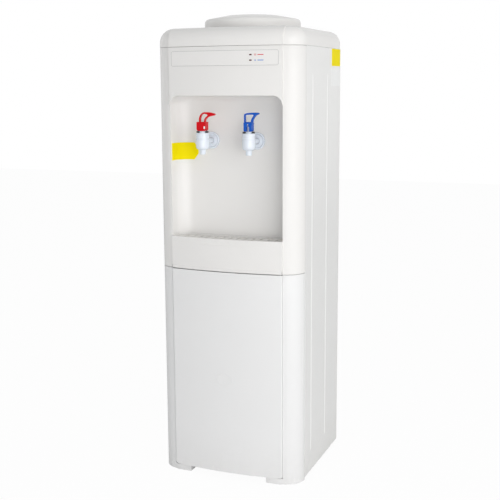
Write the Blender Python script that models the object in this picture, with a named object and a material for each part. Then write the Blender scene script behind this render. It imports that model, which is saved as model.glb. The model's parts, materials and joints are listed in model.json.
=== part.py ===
"""Floor-standing hot and cold water cooler with a storage cabinet below.

Metres, +Z up, the front faces -Y and the origin is on the floor under the middle.
Every piece is one closed solid of its own. Shapes that moulding or sheet metal would
give are made from plan outlines, turned profiles and cuts.
"""
import math

import bmesh
import bpy
from mathutils import Matrix, Vector

MM = 0.001

# Driving sizes of the case
BODY_WIDTH = 310 * MM
BODY_DEPTH = 290 * MM
FOOT_HEIGHT = 12.2 * MM
PANEL_BOTTOM = 5 * MM
PAN_RISE = 3.8 * MM
SEAM_MID_Z = 440 * MM
SEAM_TOP_Z = 886 * MM
COVER_HEIGHT = 37 * MM
COVER_ROUND = 28 * MM

# Clearances: a seat gap between pieces, a seam that shows, a running gap
SEAT = 0.3 * MM
SEAM = 1.3 * MM
RUN = 0.4 * MM
OVERRUN = 5 * MM

# Walls
SHEET = 1.2 * MM
MOULDING = 3.0 * MM
TUB_WALL = 2.5 * MM
LINER_WALL = 2.0 * MM

# Front plan: corner pilasters and the raised bowed band between them
PILASTER_RADIUS = 40 * MM
PILASTER_SETBACK = 12.5 * MM
PILASTER_STRIP = 35 * MM
BAND_BOW = 9.5 * MM
BAND_STEPS = 8
CORNER_STEPS = 5

# Dispensing bay
BAY_TOP = 791 * MM
BAY_CORNER = 16 * MM
BAY_DEPTH = 59.5 * MM
BAY_FILLET = 27 * MM
CEILING_ROUND = 15 * MM
LIP_Z = 507 * MM
TRAY_FLOOR_Z = 476 * MM

# Taps
TAP_SPACING = 99 * MM
TAP_SETBACK = 13 * MM
TAP_RADIUS = 12.75 * MM
TAP_TOP = 718.9 * MM
TAP_BODY_HEIGHT = 34.5 * MM
NOZZLE_RADIUS = 6.2 * MM
NOZZLE_LENGTH = 9.6 * MM
INLET_DROP = 18.3 * MM
PRESS_ANGLE = math.radians(20)

# Bottle seat
SEAT_OFFSET = 3.5 * MM
SEAT_RADIUS = 100 * MM
SEAT_RIM_RADIUS = 55 * MM
SEAT_WALL = 16 * MM
SEAT_LEDGE = 12 * MM
SEAT_HEIGHT = 29 * MM

# Cold and hot water
TANK_ROOM = 28.5 * MM
COLD_HEIGHT = 165 * MM
FOAM_WALL = 20 * MM
HOT_RADIUS = 46 * MM
HOT_HEIGHT = 128 * MM

# Cabinet and cooling
FRAME_REVEAL = 15 * MM
CABINET_REVEAL = 10 * MM
CABINET_TOP = 428 * MM
CABINET_STEP_Z = 214 * MM
COMPRESSOR_AIR = 43 * MM
CABINET_AIR = 41 * MM
BACK_RECESS = 27 * MM
BACK_BOTTOM = 300 * MM
COMPRESSOR_RADIUS = 54 * MM
COMPRESSOR_HEIGHT = 132 * MM
CONDENSER_RUNS = 9
BEND_STEPS = 5

# Places that follow from the sizes above
HALF_WIDTH = BODY_WIDTH / 2
BAND_HALF = HALF_WIDTH - PILASTER_STRIP
CABINET_HALF = BAND_HALF - CABINET_REVEAL
FRONT_Y = -BODY_DEPTH / 2
REAR_Y = BODY_DEPTH / 2
PILASTER_X = HALF_WIDTH - PILASTER_RADIUS
PILASTER_FRONT = FRONT_Y + PILASTER_SETBACK
PILASTER_Y = PILASTER_FRONT + PILASTER_RADIUS
CREASE_Y = FRONT_Y + BAND_BOW
COVER_TOP = SEAM_TOP_Z + COVER_HEIGHT
PANEL_TOP = SEAM_TOP_Z - SEAT
PANEL_INNER = HALF_WIDTH - SHEET
SHELF_HALF = PANEL_INNER - SEAT
BAY_BACK = FRONT_Y + BAY_DEPTH
TUB_BACK = BAY_BACK + TUB_WALL
BACK_Y = REAR_Y - BACK_RECESS
SEAT_CENTRE_Y = (TUB_BACK + BACK_Y) / 2 + SEAT_OFFSET
COLD_RADIUS = (BACK_Y - TUB_BACK) / 2 - TANK_ROOM
FOAM_RADIUS = COLD_RADIUS + FOAM_WALL
PAN_BOTTOM = FOOT_HEIGHT + PAN_RISE
PAN_TOP = PAN_BOTTOM + LINER_WALL

WHITE = (0.83, 0.82, 0.81, 1)
COOL_WHITE = (0.80, 0.81, 0.84, 1)
TAP_WHITE = (0.82, 0.86, 0.92, 1)
RED = (0.75, 0.01, 0.02, 1)
BLUE = (0.01, 0.10, 0.62, 1)
STEEL = (0.62, 0.63, 0.64, 1)
DARK = (0.03, 0.03, 0.035, 1)
COPPER = (0.72, 0.36, 0.22, 1)
FOAM = (0.90, 0.89, 0.84, 1)
RUBBER = (0.05, 0.05, 0.05, 1)
PALE = (0.78, 0.80, 0.80, 1)


def clear_scene():
    """Empty the scene without leaving the file it runs in."""
    for old in list(bpy.data.objects):
        bpy.data.objects.remove(old, do_unlink=True)


def paint(piece, colour, roughness=0.35, metallic=0.0):
    """Give a piece its own Principled material."""
    material = bpy.data.materials.new(piece.name + "_finish")
    material.use_nodes = True
    shader = material.node_tree.nodes["Principled BSDF"]
    shader.inputs["Base Color"].default_value = colour
    shader.inputs["Roughness"].default_value = roughness
    shader.inputs["Metallic"].default_value = metallic
    material.diffuse_color = colour
    piece.data.materials.clear()
    piece.data.materials.append(material)
    return piece


def new_piece(name, mesh_data):
    """Link a mesh as an object and shade its round faces smooth."""
    mesh = bpy.data.meshes.new(name)
    bmesh.ops.recalc_face_normals(mesh_data, faces=mesh_data.faces)
    mesh_data.to_mesh(mesh)
    mesh_data.free()
    mesh.shade_smooth()
    mesh.set_sharp_from_angle(angle=math.radians(35))
    piece = bpy.data.objects.new(name, mesh)
    bpy.context.scene.collection.objects.link(piece)
    return piece


def prism(name, outline, low, high, axis="Z"):
    """Extrude a closed outline from low to high along one axis.

    The outline holds (x, y) pairs along Z, (x, z) pairs along Y and (y, z) along X.
    """
    place = {
        "Z": lambda a, b, h: (a, b, h),
        "Y": lambda a, b, h: (a, h, b),
        "X": lambda a, b, h: (h, a, b),
    }[axis]
    shape = bmesh.new()
    bottom = [shape.verts.new(place(a, b, low)) for a, b in outline]
    top = [shape.verts.new(place(a, b, high)) for a, b in outline]
    shape.faces.new(bottom)
    shape.faces.new(top)
    for i, start in enumerate(bottom):
        j = (i + 1) % len(bottom)
        shape.faces.new((start, bottom[j], top[j], top[i]))
    return new_piece(name, shape)


def block(name, low, high):
    """A box from its lowest to its highest corner."""
    outline = [(low[0], low[1]), (high[0], low[1]), (high[0], high[1]), (low[0], high[1])]
    return prism(name, outline, low[2], high[2])


def loft(name, rings):
    """Bridge closed rings of equal length and cap the two ends."""
    shape = bmesh.new()
    levels = [[shape.verts.new(point) for point in ring] for ring in rings]
    for lower, upper in zip(levels, levels[1:]):
        for i, start in enumerate(lower):
            j = (i + 1) % len(lower)
            shape.faces.new((start, lower[j], upper[j], upper[i]))
    shape.faces.new(levels[0])
    shape.faces.new(levels[-1])
    return new_piece(name, shape)


def turned(name, profile, centre, segments=24, axis="Z"):
    """Turn a closed profile of (radius, height) pairs about an axis through centre.

    Pairs at radius zero lie on the axis and share one point there.
    """
    turn = {
        "Z": Matrix.Identity(3),
        "Y": Matrix.Rotation(math.radians(-90), 3, "X"),
        "X": Matrix.Rotation(math.radians(90), 3, "Y"),
    }[axis]
    centre = Vector(centre)
    shape = bmesh.new()
    columns = []
    for radius, height in profile:
        if radius == 0:
            pole = shape.verts.new(centre + turn @ Vector((0, 0, height)))
            columns.append([pole] * segments)
            continue
        ring = []
        for k in range(segments):
            angle = math.tau * k / segments
            around = Vector((radius * math.cos(angle), radius * math.sin(angle), height))
            ring.append(shape.verts.new(centre + turn @ around))
        columns.append(ring)
    for a, lower in enumerate(columns):
        upper = columns[(a + 1) % len(columns)]
        if lower[0] is lower[1] and upper[0] is upper[1]:
            continue
        for k in range(segments):
            n = (k + 1) % segments
            corners = []
            for corner in (lower[k], lower[n], upper[n], upper[k]):
                if corner not in corners:
                    corners.append(corner)
            shape.faces.new(corners)
    return new_piece(name, shape)


def rod(name, centre, radius, low, high, segments=16, axis="Z"):
    """A plain cylinder between two heights measured from its centre point."""
    return turned(name, [(0, low), (radius, low), (radius, high), (0, high)],
                  centre, segments, axis)


def smooth_path(points, steps=2):
    """Points on a Catmull-Rom curve, with the first and last stretch kept straight."""
    path = [Vector(p) for p in points]
    curve = [path[0]]
    for a, b, c, d in zip(path, path[1:], path[2:], path[3:]):
        for k in range(steps):
            t = k / steps
            curve.append(0.5 * (2 * b + (c - a) * t + (2 * a - 5 * b + 4 * c - d) * t * t
                                + (3 * b - a - 3 * c + d) * t * t * t))
    return curve + path[-2:]


def pipe(name, path, radius, resolution=1):
    """A solid pipe along a path: a bevelled curve with filled ends, made a mesh."""
    curve = bpy.data.curves.new(name, "CURVE")
    curve.dimensions = "3D"
    curve.bevel_depth = radius
    curve.bevel_resolution = resolution
    curve.use_fill_caps = True
    spline = curve.splines.new("POLY")
    spline.points.add(len(path) - 1)
    for slot, point in zip(spline.points, path):
        slot.co = (*point, 1)
    guide = bpy.data.objects.new(name, curve)
    bpy.context.scene.collection.objects.link(guide)
    bpy.context.view_layer.update()
    graph = bpy.context.evaluated_depsgraph_get()
    mesh = bpy.data.meshes.new_from_object(guide.evaluated_get(graph))
    bpy.data.objects.remove(guide, do_unlink=True)
    shape = bmesh.new()
    shape.from_mesh(mesh)
    bmesh.ops.remove_doubles(shape, verts=shape.verts, dist=SEAT / 30)
    shape.to_mesh(mesh)
    shape.free()
    mesh.shade_smooth()
    piece = bpy.data.objects.new(name, mesh)
    bpy.context.scene.collection.objects.link(piece)
    return piece


def combine(piece, tools, operation):
    """Cut, join or keep the shared space of a piece with others, and drop those."""
    for tool in tools:
        step = piece.modifiers.new(operation.lower(), "BOOLEAN")
        step.operation = operation
        step.solver = "EXACT"
        step.object = tool
    bpy.context.view_layer.update()
    graph = bpy.context.evaluated_depsgraph_get()
    result = bpy.data.meshes.new_from_object(piece.evaluated_get(graph))
    piece.modifiers.clear()
    piece.data = result
    result.name = piece.name
    for tool in tools:
        bpy.data.objects.remove(tool, do_unlink=True)
    return piece


def cut(piece, *tools):
    return combine(piece, tools, "DIFFERENCE")


def join(piece, *tools):
    return combine(piece, tools, "UNION")


def keep(piece, *tools):
    return combine(piece, tools, "INTERSECT")


def arc(cx, cy, radius, start, end, steps):
    """Points on an arc, angles in degrees, both ends included."""
    points = []
    for k in range(steps + 1):
        angle = math.radians(start + (end - start) * k / steps)
        points.append((cx + radius * math.cos(angle), cy + radius * math.sin(angle)))
    return points


def rounded(left, right, low, high, radius, steps=3):
    """A rectangle with four round corners, anticlockwise."""
    return (arc(right - radius, low + radius, radius, -90, 0, steps)
            + arc(right - radius, high - radius, radius, 0, 90, steps)
            + arc(left + radius, high - radius, radius, 90, 180, steps)
            + arc(left + radius, low + radius, radius, 180, 270, steps))


def band_y(x):
    """Depth of the bowed band's face at a distance x from the middle."""
    return FRONT_Y + BAND_BOW * (x / BAND_HALF) ** 2


def front_curve(inset=0.0, crease=BAND_HALF):
    """Front plan line from the right side, round both pilasters, to the left side."""
    radius = PILASTER_RADIUS - inset
    swing = math.degrees(math.acos((crease - PILASTER_X) / radius))
    right = arc(PILASTER_X, PILASTER_Y, radius, 0, -swing, CORNER_STEPS)
    band = [(crease * (1 - 2 * k / BAND_STEPS), 0) for k in range(BAND_STEPS + 1)]
    band = [(x, band_y(x) + inset) for x, _ in band]
    left = [(-x, y) for x, y in reversed(right)]
    return right + band + left


def front_shell():
    """Plan of the moulded front wall, one wall thick."""
    inner = front_curve(MOULDING, BAND_HALF - MOULDING)
    return front_curve() + inner[::-1]


def bay_plan(inset, front=None):
    """Plan of the dispensing bay: round back corners and the band's bow in front."""
    half = BAND_HALF - inset
    back = BAY_BACK - inset if front is None else BAY_BACK
    fillet = BAY_FILLET - inset
    outline = [(half * (1 - 2 * k / BAND_STEPS), 0) for k in range(BAND_STEPS + 1)]
    outline = [(x, band_y(x) + inset) for x, _ in outline]
    if front is not None:
        outline = [(half, front), (-half, front)]
    outline += arc(-half + fillet, back - fillet, fillet, 180, 90, CORNER_STEPS)
    outline += arc(half - fillet, back - fillet, fillet, 90, 0, CORNER_STEPS)
    return outline


PANEL_FOLD = 14 * MM
PANEL_CORNER = 3 * MM
BEAD_WIDTH = 3.6 * MM
BEAD_HEIGHT = 1.0 * MM
BEAD_FROM_BOTTOM = 45 * MM
BEAD_FROM_TOP = 53 * MM
FRONT_BEAD_SETBACK = 92 * MM
BEAD_SPACING = 100 * MM


def make_side_panel(side, name):
    """Painted sheet side with a rear return and two raised upright beads."""
    fold = PANEL_FOLD
    corner = PANEL_CORNER
    bead_width = BEAD_WIDTH
    bead_low = PANEL_BOTTOM + BEAD_FROM_BOTTOM
    bead_high = SEAM_TOP_Z - BEAD_FROM_TOP
    front = PILASTER_Y + SEAT
    outline = [(HALF_WIDTH, front)]
    outline += arc(HALF_WIDTH - corner, REAR_Y - corner, corner, 0, 90, 3)
    outline += [(HALF_WIDTH - fold, REAR_Y), (HALF_WIDTH - fold, REAR_Y - SHEET)]
    outline += [(PANEL_INNER, REAR_Y - SHEET), (PANEL_INNER, front)]
    outline = [(side * x, y) for x, y in outline]
    panel = prism(name, outline, PANEL_BOTTOM, PANEL_TOP)
    beads = []
    for y in (FRONT_Y + FRONT_BEAD_SETBACK, FRONT_Y + FRONT_BEAD_SETBACK + BEAD_SPACING):
        base = (HALF_WIDTH - SHEET / 2) * side
        crown = (HALF_WIDTH + BEAD_HEIGHT) * side
        foot = HALF_WIDTH * side
        half = bead_width / 2
        section = [(base, y - half), (foot, y - half), (crown, y - half / 2),
                   (crown, y + half / 2), (foot, y + half), (base, y + half)]
        ends = []
        for z, share in ((bead_low, 0), (bead_low + bead_width, 1),
                         (bead_high - bead_width, 1), (bead_high, 0)):
            ends.append([(x if abs(x) <= HALF_WIDTH else foot + share * (x - foot), b, z)
                         for x, b in section])
        beads.append(loft("bead", ends))
    return paint(join(panel, *beads), WHITE, 0.3)


def make_top_cover():
    """Moulded lid with large round edges, open below, with the bottle seat's hole."""
    bottom = SEAM_TOP_Z
    centre = COVER_TOP - COVER_ROUND

    def level(inset, z, wall):
        """One closed plan ring of the outer skin or of the inner one."""
        crease = BAND_HALF - (MOULDING if wall else 0)
        points = front_curve(inset, crease)
        corner = PILASTER_RADIUS - inset
        rear = REAR_Y - inset
        points += arc(-HALF_WIDTH + inset + corner, rear - corner, corner, 180, 90,
                      CORNER_STEPS)
        points += arc(HALF_WIDTH - inset - corner, rear - corner, corner, 90, 0,
                      CORNER_STEPS)
        return [(x, y, z) for x, y in points]

    def skin(wall, low, rings):
        levels = [level(wall, low, wall)]
        for k in range(rings + 1):
            turn = math.pi / 2 * k / rings
            rise = COVER_ROUND - wall
            inset = COVER_ROUND - rise * math.cos(turn)
            levels.append(level(inset, centre + rise * math.sin(turn), wall))
        return levels

    cover = loft("top_cover", skin(0, bottom, 5))
    hollow = loft("hollow", skin(MOULDING, bottom - OVERRUN, 3))
    hole = rod("hole", (0, SEAT_CENTRE_Y, COVER_TOP), SEAT_RADIUS - SEAT_LEDGE,
               -2 * MOULDING, OVERRUN, 48)
    return paint(cut(cover, hollow, hole), WHITE, 0.25)


def tap_places():
    """Left tap is hot, right tap is cold."""
    y = FRONT_Y + TAP_SETBACK
    return (("hot", -TAP_SPACING / 2, y), ("cold", TAP_SPACING / 2, y))


INLET_Z = TAP_TOP - INLET_DROP
INLET_RADIUS = 6 * MM
PLATE_MARGIN = 3.5 * MM
PLATE_HALF = BAND_HALF - 2 * PLATE_MARGIN
PLATE_LOW = 848.5 * MM
PLATE_HIGH = 877 * MM
PLATE_CORNER = PLATE_MARGIN
PLATE_THICK = 0.6 * MM
LAMP_X = 58 * MM
LAMP_HALF_WIDTH = 2.5 * MM
LAMP_HALF_HEIGHT = 1.25 * MM
LAMP_LENGTH = 9 * MM
HEAT_LAMP_Z = 868.4 * MM
COOL_LAMP_Z = 858 * MM
LAMP_PLACES = (("heat_lamp", HEAT_LAMP_Z), ("cool_lamp", COOL_LAMP_Z))


def band_slab(name, half, low, high, corner, near, far):
    """A curved slab behind the band's face, from near to far depth, with round corners."""
    steps = BAND_STEPS
    xs = [half * (2 * k / steps - 1) for k in range(steps + 1)]
    plan = [(x, band_y(x) + near) for x in xs] + [(x, band_y(x) + far) for x in xs[::-1]]
    slab = prism(name, plan, low, high)
    outline = rounded(-half, half, low, high, corner, 3)
    return keep(slab, prism("trim", outline, FRONT_Y - OVERRUN, CREASE_Y + OVERRUN * 2, "Y"))


def lamp_hole(z, gap, far):
    """Cutter for one lamp's window."""
    y = band_y(LAMP_X)
    return block("window", (LAMP_X - LAMP_HALF_WIDTH - gap, y - OVERRUN,
                            z - LAMP_HALF_HEIGHT - gap),
                 (LAMP_X + LAMP_HALF_WIDTH + gap, y + far, z + LAMP_HALF_HEIGHT + gap))


def make_upper_front():
    """One moulding: pilasters, band, dispensing bay, tray well and apron."""
    flange_depth = 15 * MM
    tongue = 12 * MM
    wall = prism("upper_front", front_shell(), SEAM_MID_Z, PANEL_TOP)
    half_wall = MOULDING / 2
    inside = BAND_HALF - MOULDING
    xs = [inside * (1 - 2 * k / BAND_STEPS) for k in range(BAND_STEPS + 1)]
    tub_half = BAND_HALF + TUB_WALL
    fillet = BAY_FILLET + TUB_WALL
    tub_plan = [(tub_half, PILASTER_FRONT + half_wall)]
    tub_plan += [(x, band_y(x) + half_wall) for x in xs]
    tub_plan += [(-tub_half, PILASTER_FRONT + half_wall)]
    tub_plan += arc(-tub_half + fillet, TUB_BACK - fillet, fillet, 180, 90, CORNER_STEPS)
    tub_plan += arc(tub_half - fillet, TUB_BACK - fillet, fillet, 90, 0, CORNER_STEPS)
    tub = prism("tub", tub_plan, TRAY_FLOOR_Z - TUB_WALL, BAY_TOP + TUB_WALL)
    ledge_y = PILASTER_FRONT + flange_depth
    ledge = [(x, band_y(x) + half_wall) for x in xs] + [(-inside, ledge_y), (inside, ledge_y)]
    flange = prism("flange", ledge, SEAM_MID_Z, SEAM_MID_Z + TUB_WALL)
    tongues = []
    for side in (-1, 1):
        edge = (PANEL_INNER - SEAT) * side
        inner = edge - LINER_WALL * side
        tongues.append(block("tongue", (min(edge, inner), PILASTER_Y - tongue, SEAM_MID_Z),
                             (max(edge, inner), PILASTER_Y + tongue, PANEL_TOP)))
    join(wall, tub, flange, *tongues)
    bay = prism("bay", bay_plan(0, FRONT_Y - OVERRUN), LIP_Z, BAY_TOP)
    mouth = rounded(-BAND_HALF, BAND_HALF, LIP_Z - 2 * BAY_CORNER, BAY_TOP, BAY_CORNER,
                    CORNER_STEPS)
    keep(bay, prism("mouth", mouth, FRONT_Y - 2 * OVERRUN, BAY_BACK + OVERRUN, "Y"))
    cove = arc(BAY_BACK - CEILING_ROUND, BAY_TOP - CEILING_ROUND, CEILING_ROUND, 0, 90,
               CORNER_STEPS)
    cove += [(BAY_BACK - CEILING_ROUND, BAY_TOP + OVERRUN),
             (BAY_BACK + OVERRUN, BAY_TOP + OVERRUN),
             (BAY_BACK + OVERRUN, BAY_TOP - CEILING_ROUND)]
    cut(bay, prism("cove", cove, -BAND_HALF - OVERRUN, BAND_HALF + OVERRUN, "X"))
    well = prism("well", bay_plan(MOULDING), TRAY_FLOOR_Z, LIP_Z + OVERRUN)
    pocket = band_slab("pocket", PLATE_HALF + SEAT, PLATE_LOW - SEAT, PLATE_HIGH + SEAT,
                       PLATE_CORNER, -OVERRUN, PLATE_THICK + SEAT)
    tools = [bay, well, pocket]
    tools += [lamp_hole(z, SEAT, LAMP_LENGTH + OVERRUN) for _, z in LAMP_PLACES]
    for _, x, _ in tap_places():
        tools.append(rod("inlet_hole", (x, BAY_BACK, INLET_Z), INLET_RADIUS + SEAT,
                         -OVERRUN, TUB_WALL + OVERRUN, 20, "Y"))
    tools.append(rod("pin_hole", (HINGE_X, HINGE_Y, SEAM_MID_Z), PIN_RADIUS + SEAT,
                     -OVERRUN, TUB_WALL + SEAT, 10))
    tools.append(rod("head_room", (HINGE_X, HINGE_Y, SEAM_MID_Z), PIN_HEAD + SEAT,
                     TUB_WALL, OVERRUN, 10))
    return paint(cut(wall, *tools), WHITE, 0.22)


def make_indicator():
    """Clear strip let into the band, with the heating and cooling lamps behind it."""
    strip = band_slab("indicator_strip", PLATE_HALF, PLATE_LOW, PLATE_HIGH, PLATE_CORNER,
                      0, PLATE_THICK)
    cut(strip, *[lamp_hole(z, SEAT, OVERRUN) for _, z in LAMP_PLACES])
    paint(strip, PALE, 0.15)
    for name, z in LAMP_PLACES:
        y = band_y(LAMP_X)
        lamp = block(name, (LAMP_X - LAMP_HALF_WIDTH, y + SEAT / 2, z - LAMP_HALF_HEIGHT),
                     (LAMP_X + LAMP_HALF_WIDTH, y + LAMP_LENGTH, z + LAMP_HALF_HEIGHT))
        paint(lamp, DARK, 0.2)


# Cabinet door and its frame
FRAME_SETBACK = 10.5 * MM
FRAME_FACE = PILASTER_FRONT + FRAME_SETBACK
FRAME_BACK = FRAME_FACE + MOULDING
DOOR_GAP = 1.2 * MM
DOOR_BOTTOM = FOOT_HEIGHT + SEAM
DOOR_TOP = SEAM_MID_Z - SEAM
DOOR_CORNER = 6 * MM
DOOR_AIR = 2 * MM
DOOR_REAR = FRAME_FACE - DOOR_AIR
DOOR_SKIN = 2.5 * MM
HINGE_INSET = 5.3 * MM
HINGE_DEPTH = 2.7 * MM
HINGE_X = BAND_HALF - HINGE_INSET
HINGE_Y = CREASE_Y + HINGE_DEPTH
PIN_RADIUS = 1.4 * MM
PIN_HEAD = 2.1 * MM
PIN_BASE = 2.8 * MM
PIN_DEPTH = 9 * MM
POST_WIDTH = 11 * MM
FRAME_OPEN_HALF = BAND_HALF - FRAME_REVEAL
FRAME_OPEN_LOW = 30 * MM
FRAME_OPEN_HIGH = 424 * MM
FOOT_WIDTH = 70 * MM
FOOT_HALF = HALF_WIDTH - FOOT_WIDTH
FOOT_DEPTH = 40 * MM


def make_lower_frame():
    """Fixed lower moulding: pilasters, rebate for the door, face plate and two feet."""
    top = SEAM_MID_Z - SEAT
    rebate = BAND_HALF + DOOR_GAP
    swing = math.degrees(math.acos((rebate - PILASTER_X) / PILASTER_RADIUS))
    inner_radius = PILASTER_RADIUS - MOULDING
    outer = arc(PILASTER_X, PILASTER_Y, PILASTER_RADIUS, 0, -swing, CORNER_STEPS)
    inner = arc(PILASTER_X, PILASTER_Y, inner_radius, 0, -50, 4)
    right = outer + [(rebate, FRAME_FACE)]
    left = [(-x, y) for x, y in reversed(right)]
    back_right = [(rebate + MOULDING, FRAME_BACK)] + inner[::-1]
    back_left = [(-x, y) for x, y in reversed(back_right)]
    shell = prism("lower_frame", right + left + back_left + back_right, FOOT_HEIGHT / 2, top)
    opening = rounded(-FRAME_OPEN_HALF, FRAME_OPEN_HALF, FRAME_OPEN_LOW, FRAME_OPEN_HIGH,
                      DOOR_CORNER)
    hole = prism("opening", opening, FRAME_FACE - OVERRUN, FRAME_BACK + OVERRUN, "Y")
    below = block("below", (-FOOT_HALF, FRONT_Y - OVERRUN, -OVERRUN),
                  (FOOT_HALF, REAR_Y, PAN_BOTTOM))
    cut(shell, hole, below)
    parts = []
    for side in (-1, 1):
        plan = outer + [(PILASTER_X, PILASTER_FRONT), (FOOT_HALF, PILASTER_FRONT),
                        (FOOT_HALF, PILASTER_FRONT + FOOT_DEPTH)]
        plan = [(side * x, y) for x, y in plan]
        foot = prism("foot", plan, 0, FOOT_HEIGHT)
        step = block("step", (min(side * FOOT_HALF, side * (HALF_WIDTH - MOULDING)),
                              FRAME_FACE, FOOT_HEIGHT / 2),
                     (max(side * FOOT_HALF, side * (HALF_WIDTH - MOULDING)),
                      PILASTER_FRONT + FOOT_DEPTH, PAN_BOTTOM - SEAT))
        edge = (PANEL_INNER - SEAT) * side
        tab = edge - LINER_WALL * side
        tongue = block("tongue", (min(edge, tab), PILASTER_Y - FOOT_HEIGHT, FOOT_HEIGHT / 2),
                       (max(edge, tab), PILASTER_Y + FOOT_HEIGHT, top))
        parts += [foot, step, tongue]
    join(shell, *parts)
    seat = rod("pin_seat", (HINGE_X, HINGE_Y, 0), PIN_RADIUS + SEAT, PIN_BASE,
               FOOT_HEIGHT + OVERRUN, 12)
    return paint(cut(shell, seat), COOL_WHITE, 0.25)


def make_door():
    """Bowed door skin with a deep rim, a hinge post, and a flat inner panel."""
    half = BAND_HALF
    xs = [half * (1 - 2 * k / BAND_STEPS) for k in range(BAND_STEPS + 1)]
    chamfer = 3.5 * MM
    plan = [(x, band_y(x)) for x in xs] + [(-half, DOOR_REAR)]
    plan += [(half - chamfer, DOOR_REAR), (half, DOOR_REAR - chamfer)]
    door = prism("door_panel", plan, DOOR_BOTTOM, DOOR_TOP)
    outline = rounded(-half, half, DOOR_BOTTOM, DOOR_TOP + 2 * DOOR_CORNER, DOOR_CORNER)
    keep(door, prism("trim", outline, FRONT_Y - OVERRUN, DOOR_REAR + OVERRUN, "Y"))
    left = -half + DOOR_SKIN
    right = half - POST_WIDTH
    steps = BAND_STEPS
    inner = [(right + (left - right) * k / steps, 0) for k in range(steps + 1)]
    inner = [(x, band_y(x) + DOOR_SKIN) for x, _ in inner]
    inner += [(left, DOOR_REAR + OVERRUN), (right, DOOR_REAR + OVERRUN)]
    low = DOOR_BOTTOM + DOOR_SKIN + DOOR_CORNER
    high = DOOR_TOP - DOOR_SKIN
    hollow = prism("hollow", inner, low, high)
    holes = []
    for start, end in ((DOOR_BOTTOM - OVERRUN, DOOR_BOTTOM + PIN_DEPTH),
                       (DOOR_TOP - PIN_DEPTH, DOOR_TOP + OVERRUN)):
        holes.append(rod("pin_hole", (HINGE_X, HINGE_Y, 0), PIN_RADIUS + SEAT, start, end, 12))
    paint(cut(door, hollow, *holes), COOL_WHITE, 0.25)

    thick = LINER_WALL
    cover = prism("door_liner",
                  rounded(left + RUN, right - RUN, low + RUN, high - RUN, 2 * DOOR_SKIN),
                  DOOR_REAR - thick, DOOR_REAR, "Y")
    ribs = []
    for share in (-0.6, 0, 0.6):
        x = share * half
        ribs.append(block("rib", (x - thick / 2, band_y(x) + DOOR_SKIN + 2 * SEAT,
                                  low + POST_WIDTH),
                          (x + thick / 2, DOOR_REAR - thick / 2, high - POST_WIDTH)))
    paint(join(cover, *ribs), PALE, 0.5)

    collar = PIN_BASE
    pin = turned("lower_hinge_pin", [(0, PIN_BASE + SEAT), (PIN_RADIUS, PIN_BASE + SEAT),
                                     (PIN_RADIUS, FOOT_HEIGHT + SEAT),
                                     (collar, FOOT_HEIGHT + SEAT),
                                     (collar, DOOR_BOTTOM - SEAT), (PIN_RADIUS, DOOR_BOTTOM - SEAT),
                                     (PIN_RADIUS, DOOR_BOTTOM + PIN_DEPTH - RUN),
                                     (0, DOOR_BOTTOM + PIN_DEPTH - RUN)],
                 (HINGE_X, HINGE_Y, 0), 10)
    paint(pin, STEEL, 0.3, 1)
    head = SEAM_MID_Z + TUB_WALL + SEAT
    collar = PIN_HEAD
    pin = turned("upper_hinge_pin", [(0, DOOR_TOP - PIN_DEPTH + RUN),
                                     (PIN_RADIUS, DOOR_TOP - PIN_DEPTH + RUN),
                                     (PIN_RADIUS, head), (collar, head),
                                     (collar, head + PIN_RADIUS), (0, head + PIN_RADIUS)],
                 (HINGE_X, HINGE_Y, 0), 10)
    paint(pin, STEEL, 0.3, 1)


CATCH_Z = 400 * MM
CATCH_WIDTH = 11 * MM
CATCH_DEPTH = 12 * MM
CATCH_HEIGHT = 34 * MM
STRIKE_THICK = 0.8 * MM


def make_catch():
    """Magnet catch inside the cabinet's free side and its strike on the door."""
    wide, deep, tall = CATCH_WIDTH, CATCH_DEPTH, CATCH_HEIGHT
    left = -FRAME_OPEN_HALF + SEAT
    face = DOOR_REAR + STRIKE_THICK + 2 * SEAT
    magnet = block("magnet_catch", (left, face, CATCH_Z - tall / 2),
                   (left + wide, face + deep, CATCH_Z + tall / 2))
    paint(magnet, DARK, 0.6)
    strike = block("strike_plate", (left, DOOR_REAR + SEAT, CATCH_Z - tall / 2),
                   (left + wide, DOOR_REAR + SEAT + STRIKE_THICK, CATCH_Z + tall / 2))
    paint(strike, STEEL, 0.3, 1)


def make_cabinet_liner():
    """Storage tub behind the door: shallow low down, deeper above the compressor."""
    front = FRAME_BACK + SEAT
    wall = LINER_WALL
    base = PAN_TOP + SEAT
    shallow = COMPRESSOR_Y - COMPRESSOR_RADIUS - COMPRESSOR_AIR
    deep = BACK_Y - CABINET_AIR
    outer = [(front, base), (shallow + wall, base), (shallow + wall, CABINET_STEP_Z - wall),
             (deep + wall, CABINET_STEP_Z - wall), (deep + wall, CABINET_TOP + wall),
             (front, CABINET_TOP + wall)]
    inner = [(front - OVERRUN, base + wall), (shallow, base + wall),
             (shallow, CABINET_STEP_Z), (deep, CABINET_STEP_Z), (deep, CABINET_TOP),
             (front - OVERRUN, CABINET_TOP)]
    liner = prism("cabinet_liner", outer, -CABINET_HALF - wall, CABINET_HALF + wall, "X")
    hollow = prism("hollow", inner, -CABINET_HALF, CABINET_HALF, "X")
    return paint(cut(liner, hollow), WHITE, 0.5)


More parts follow.
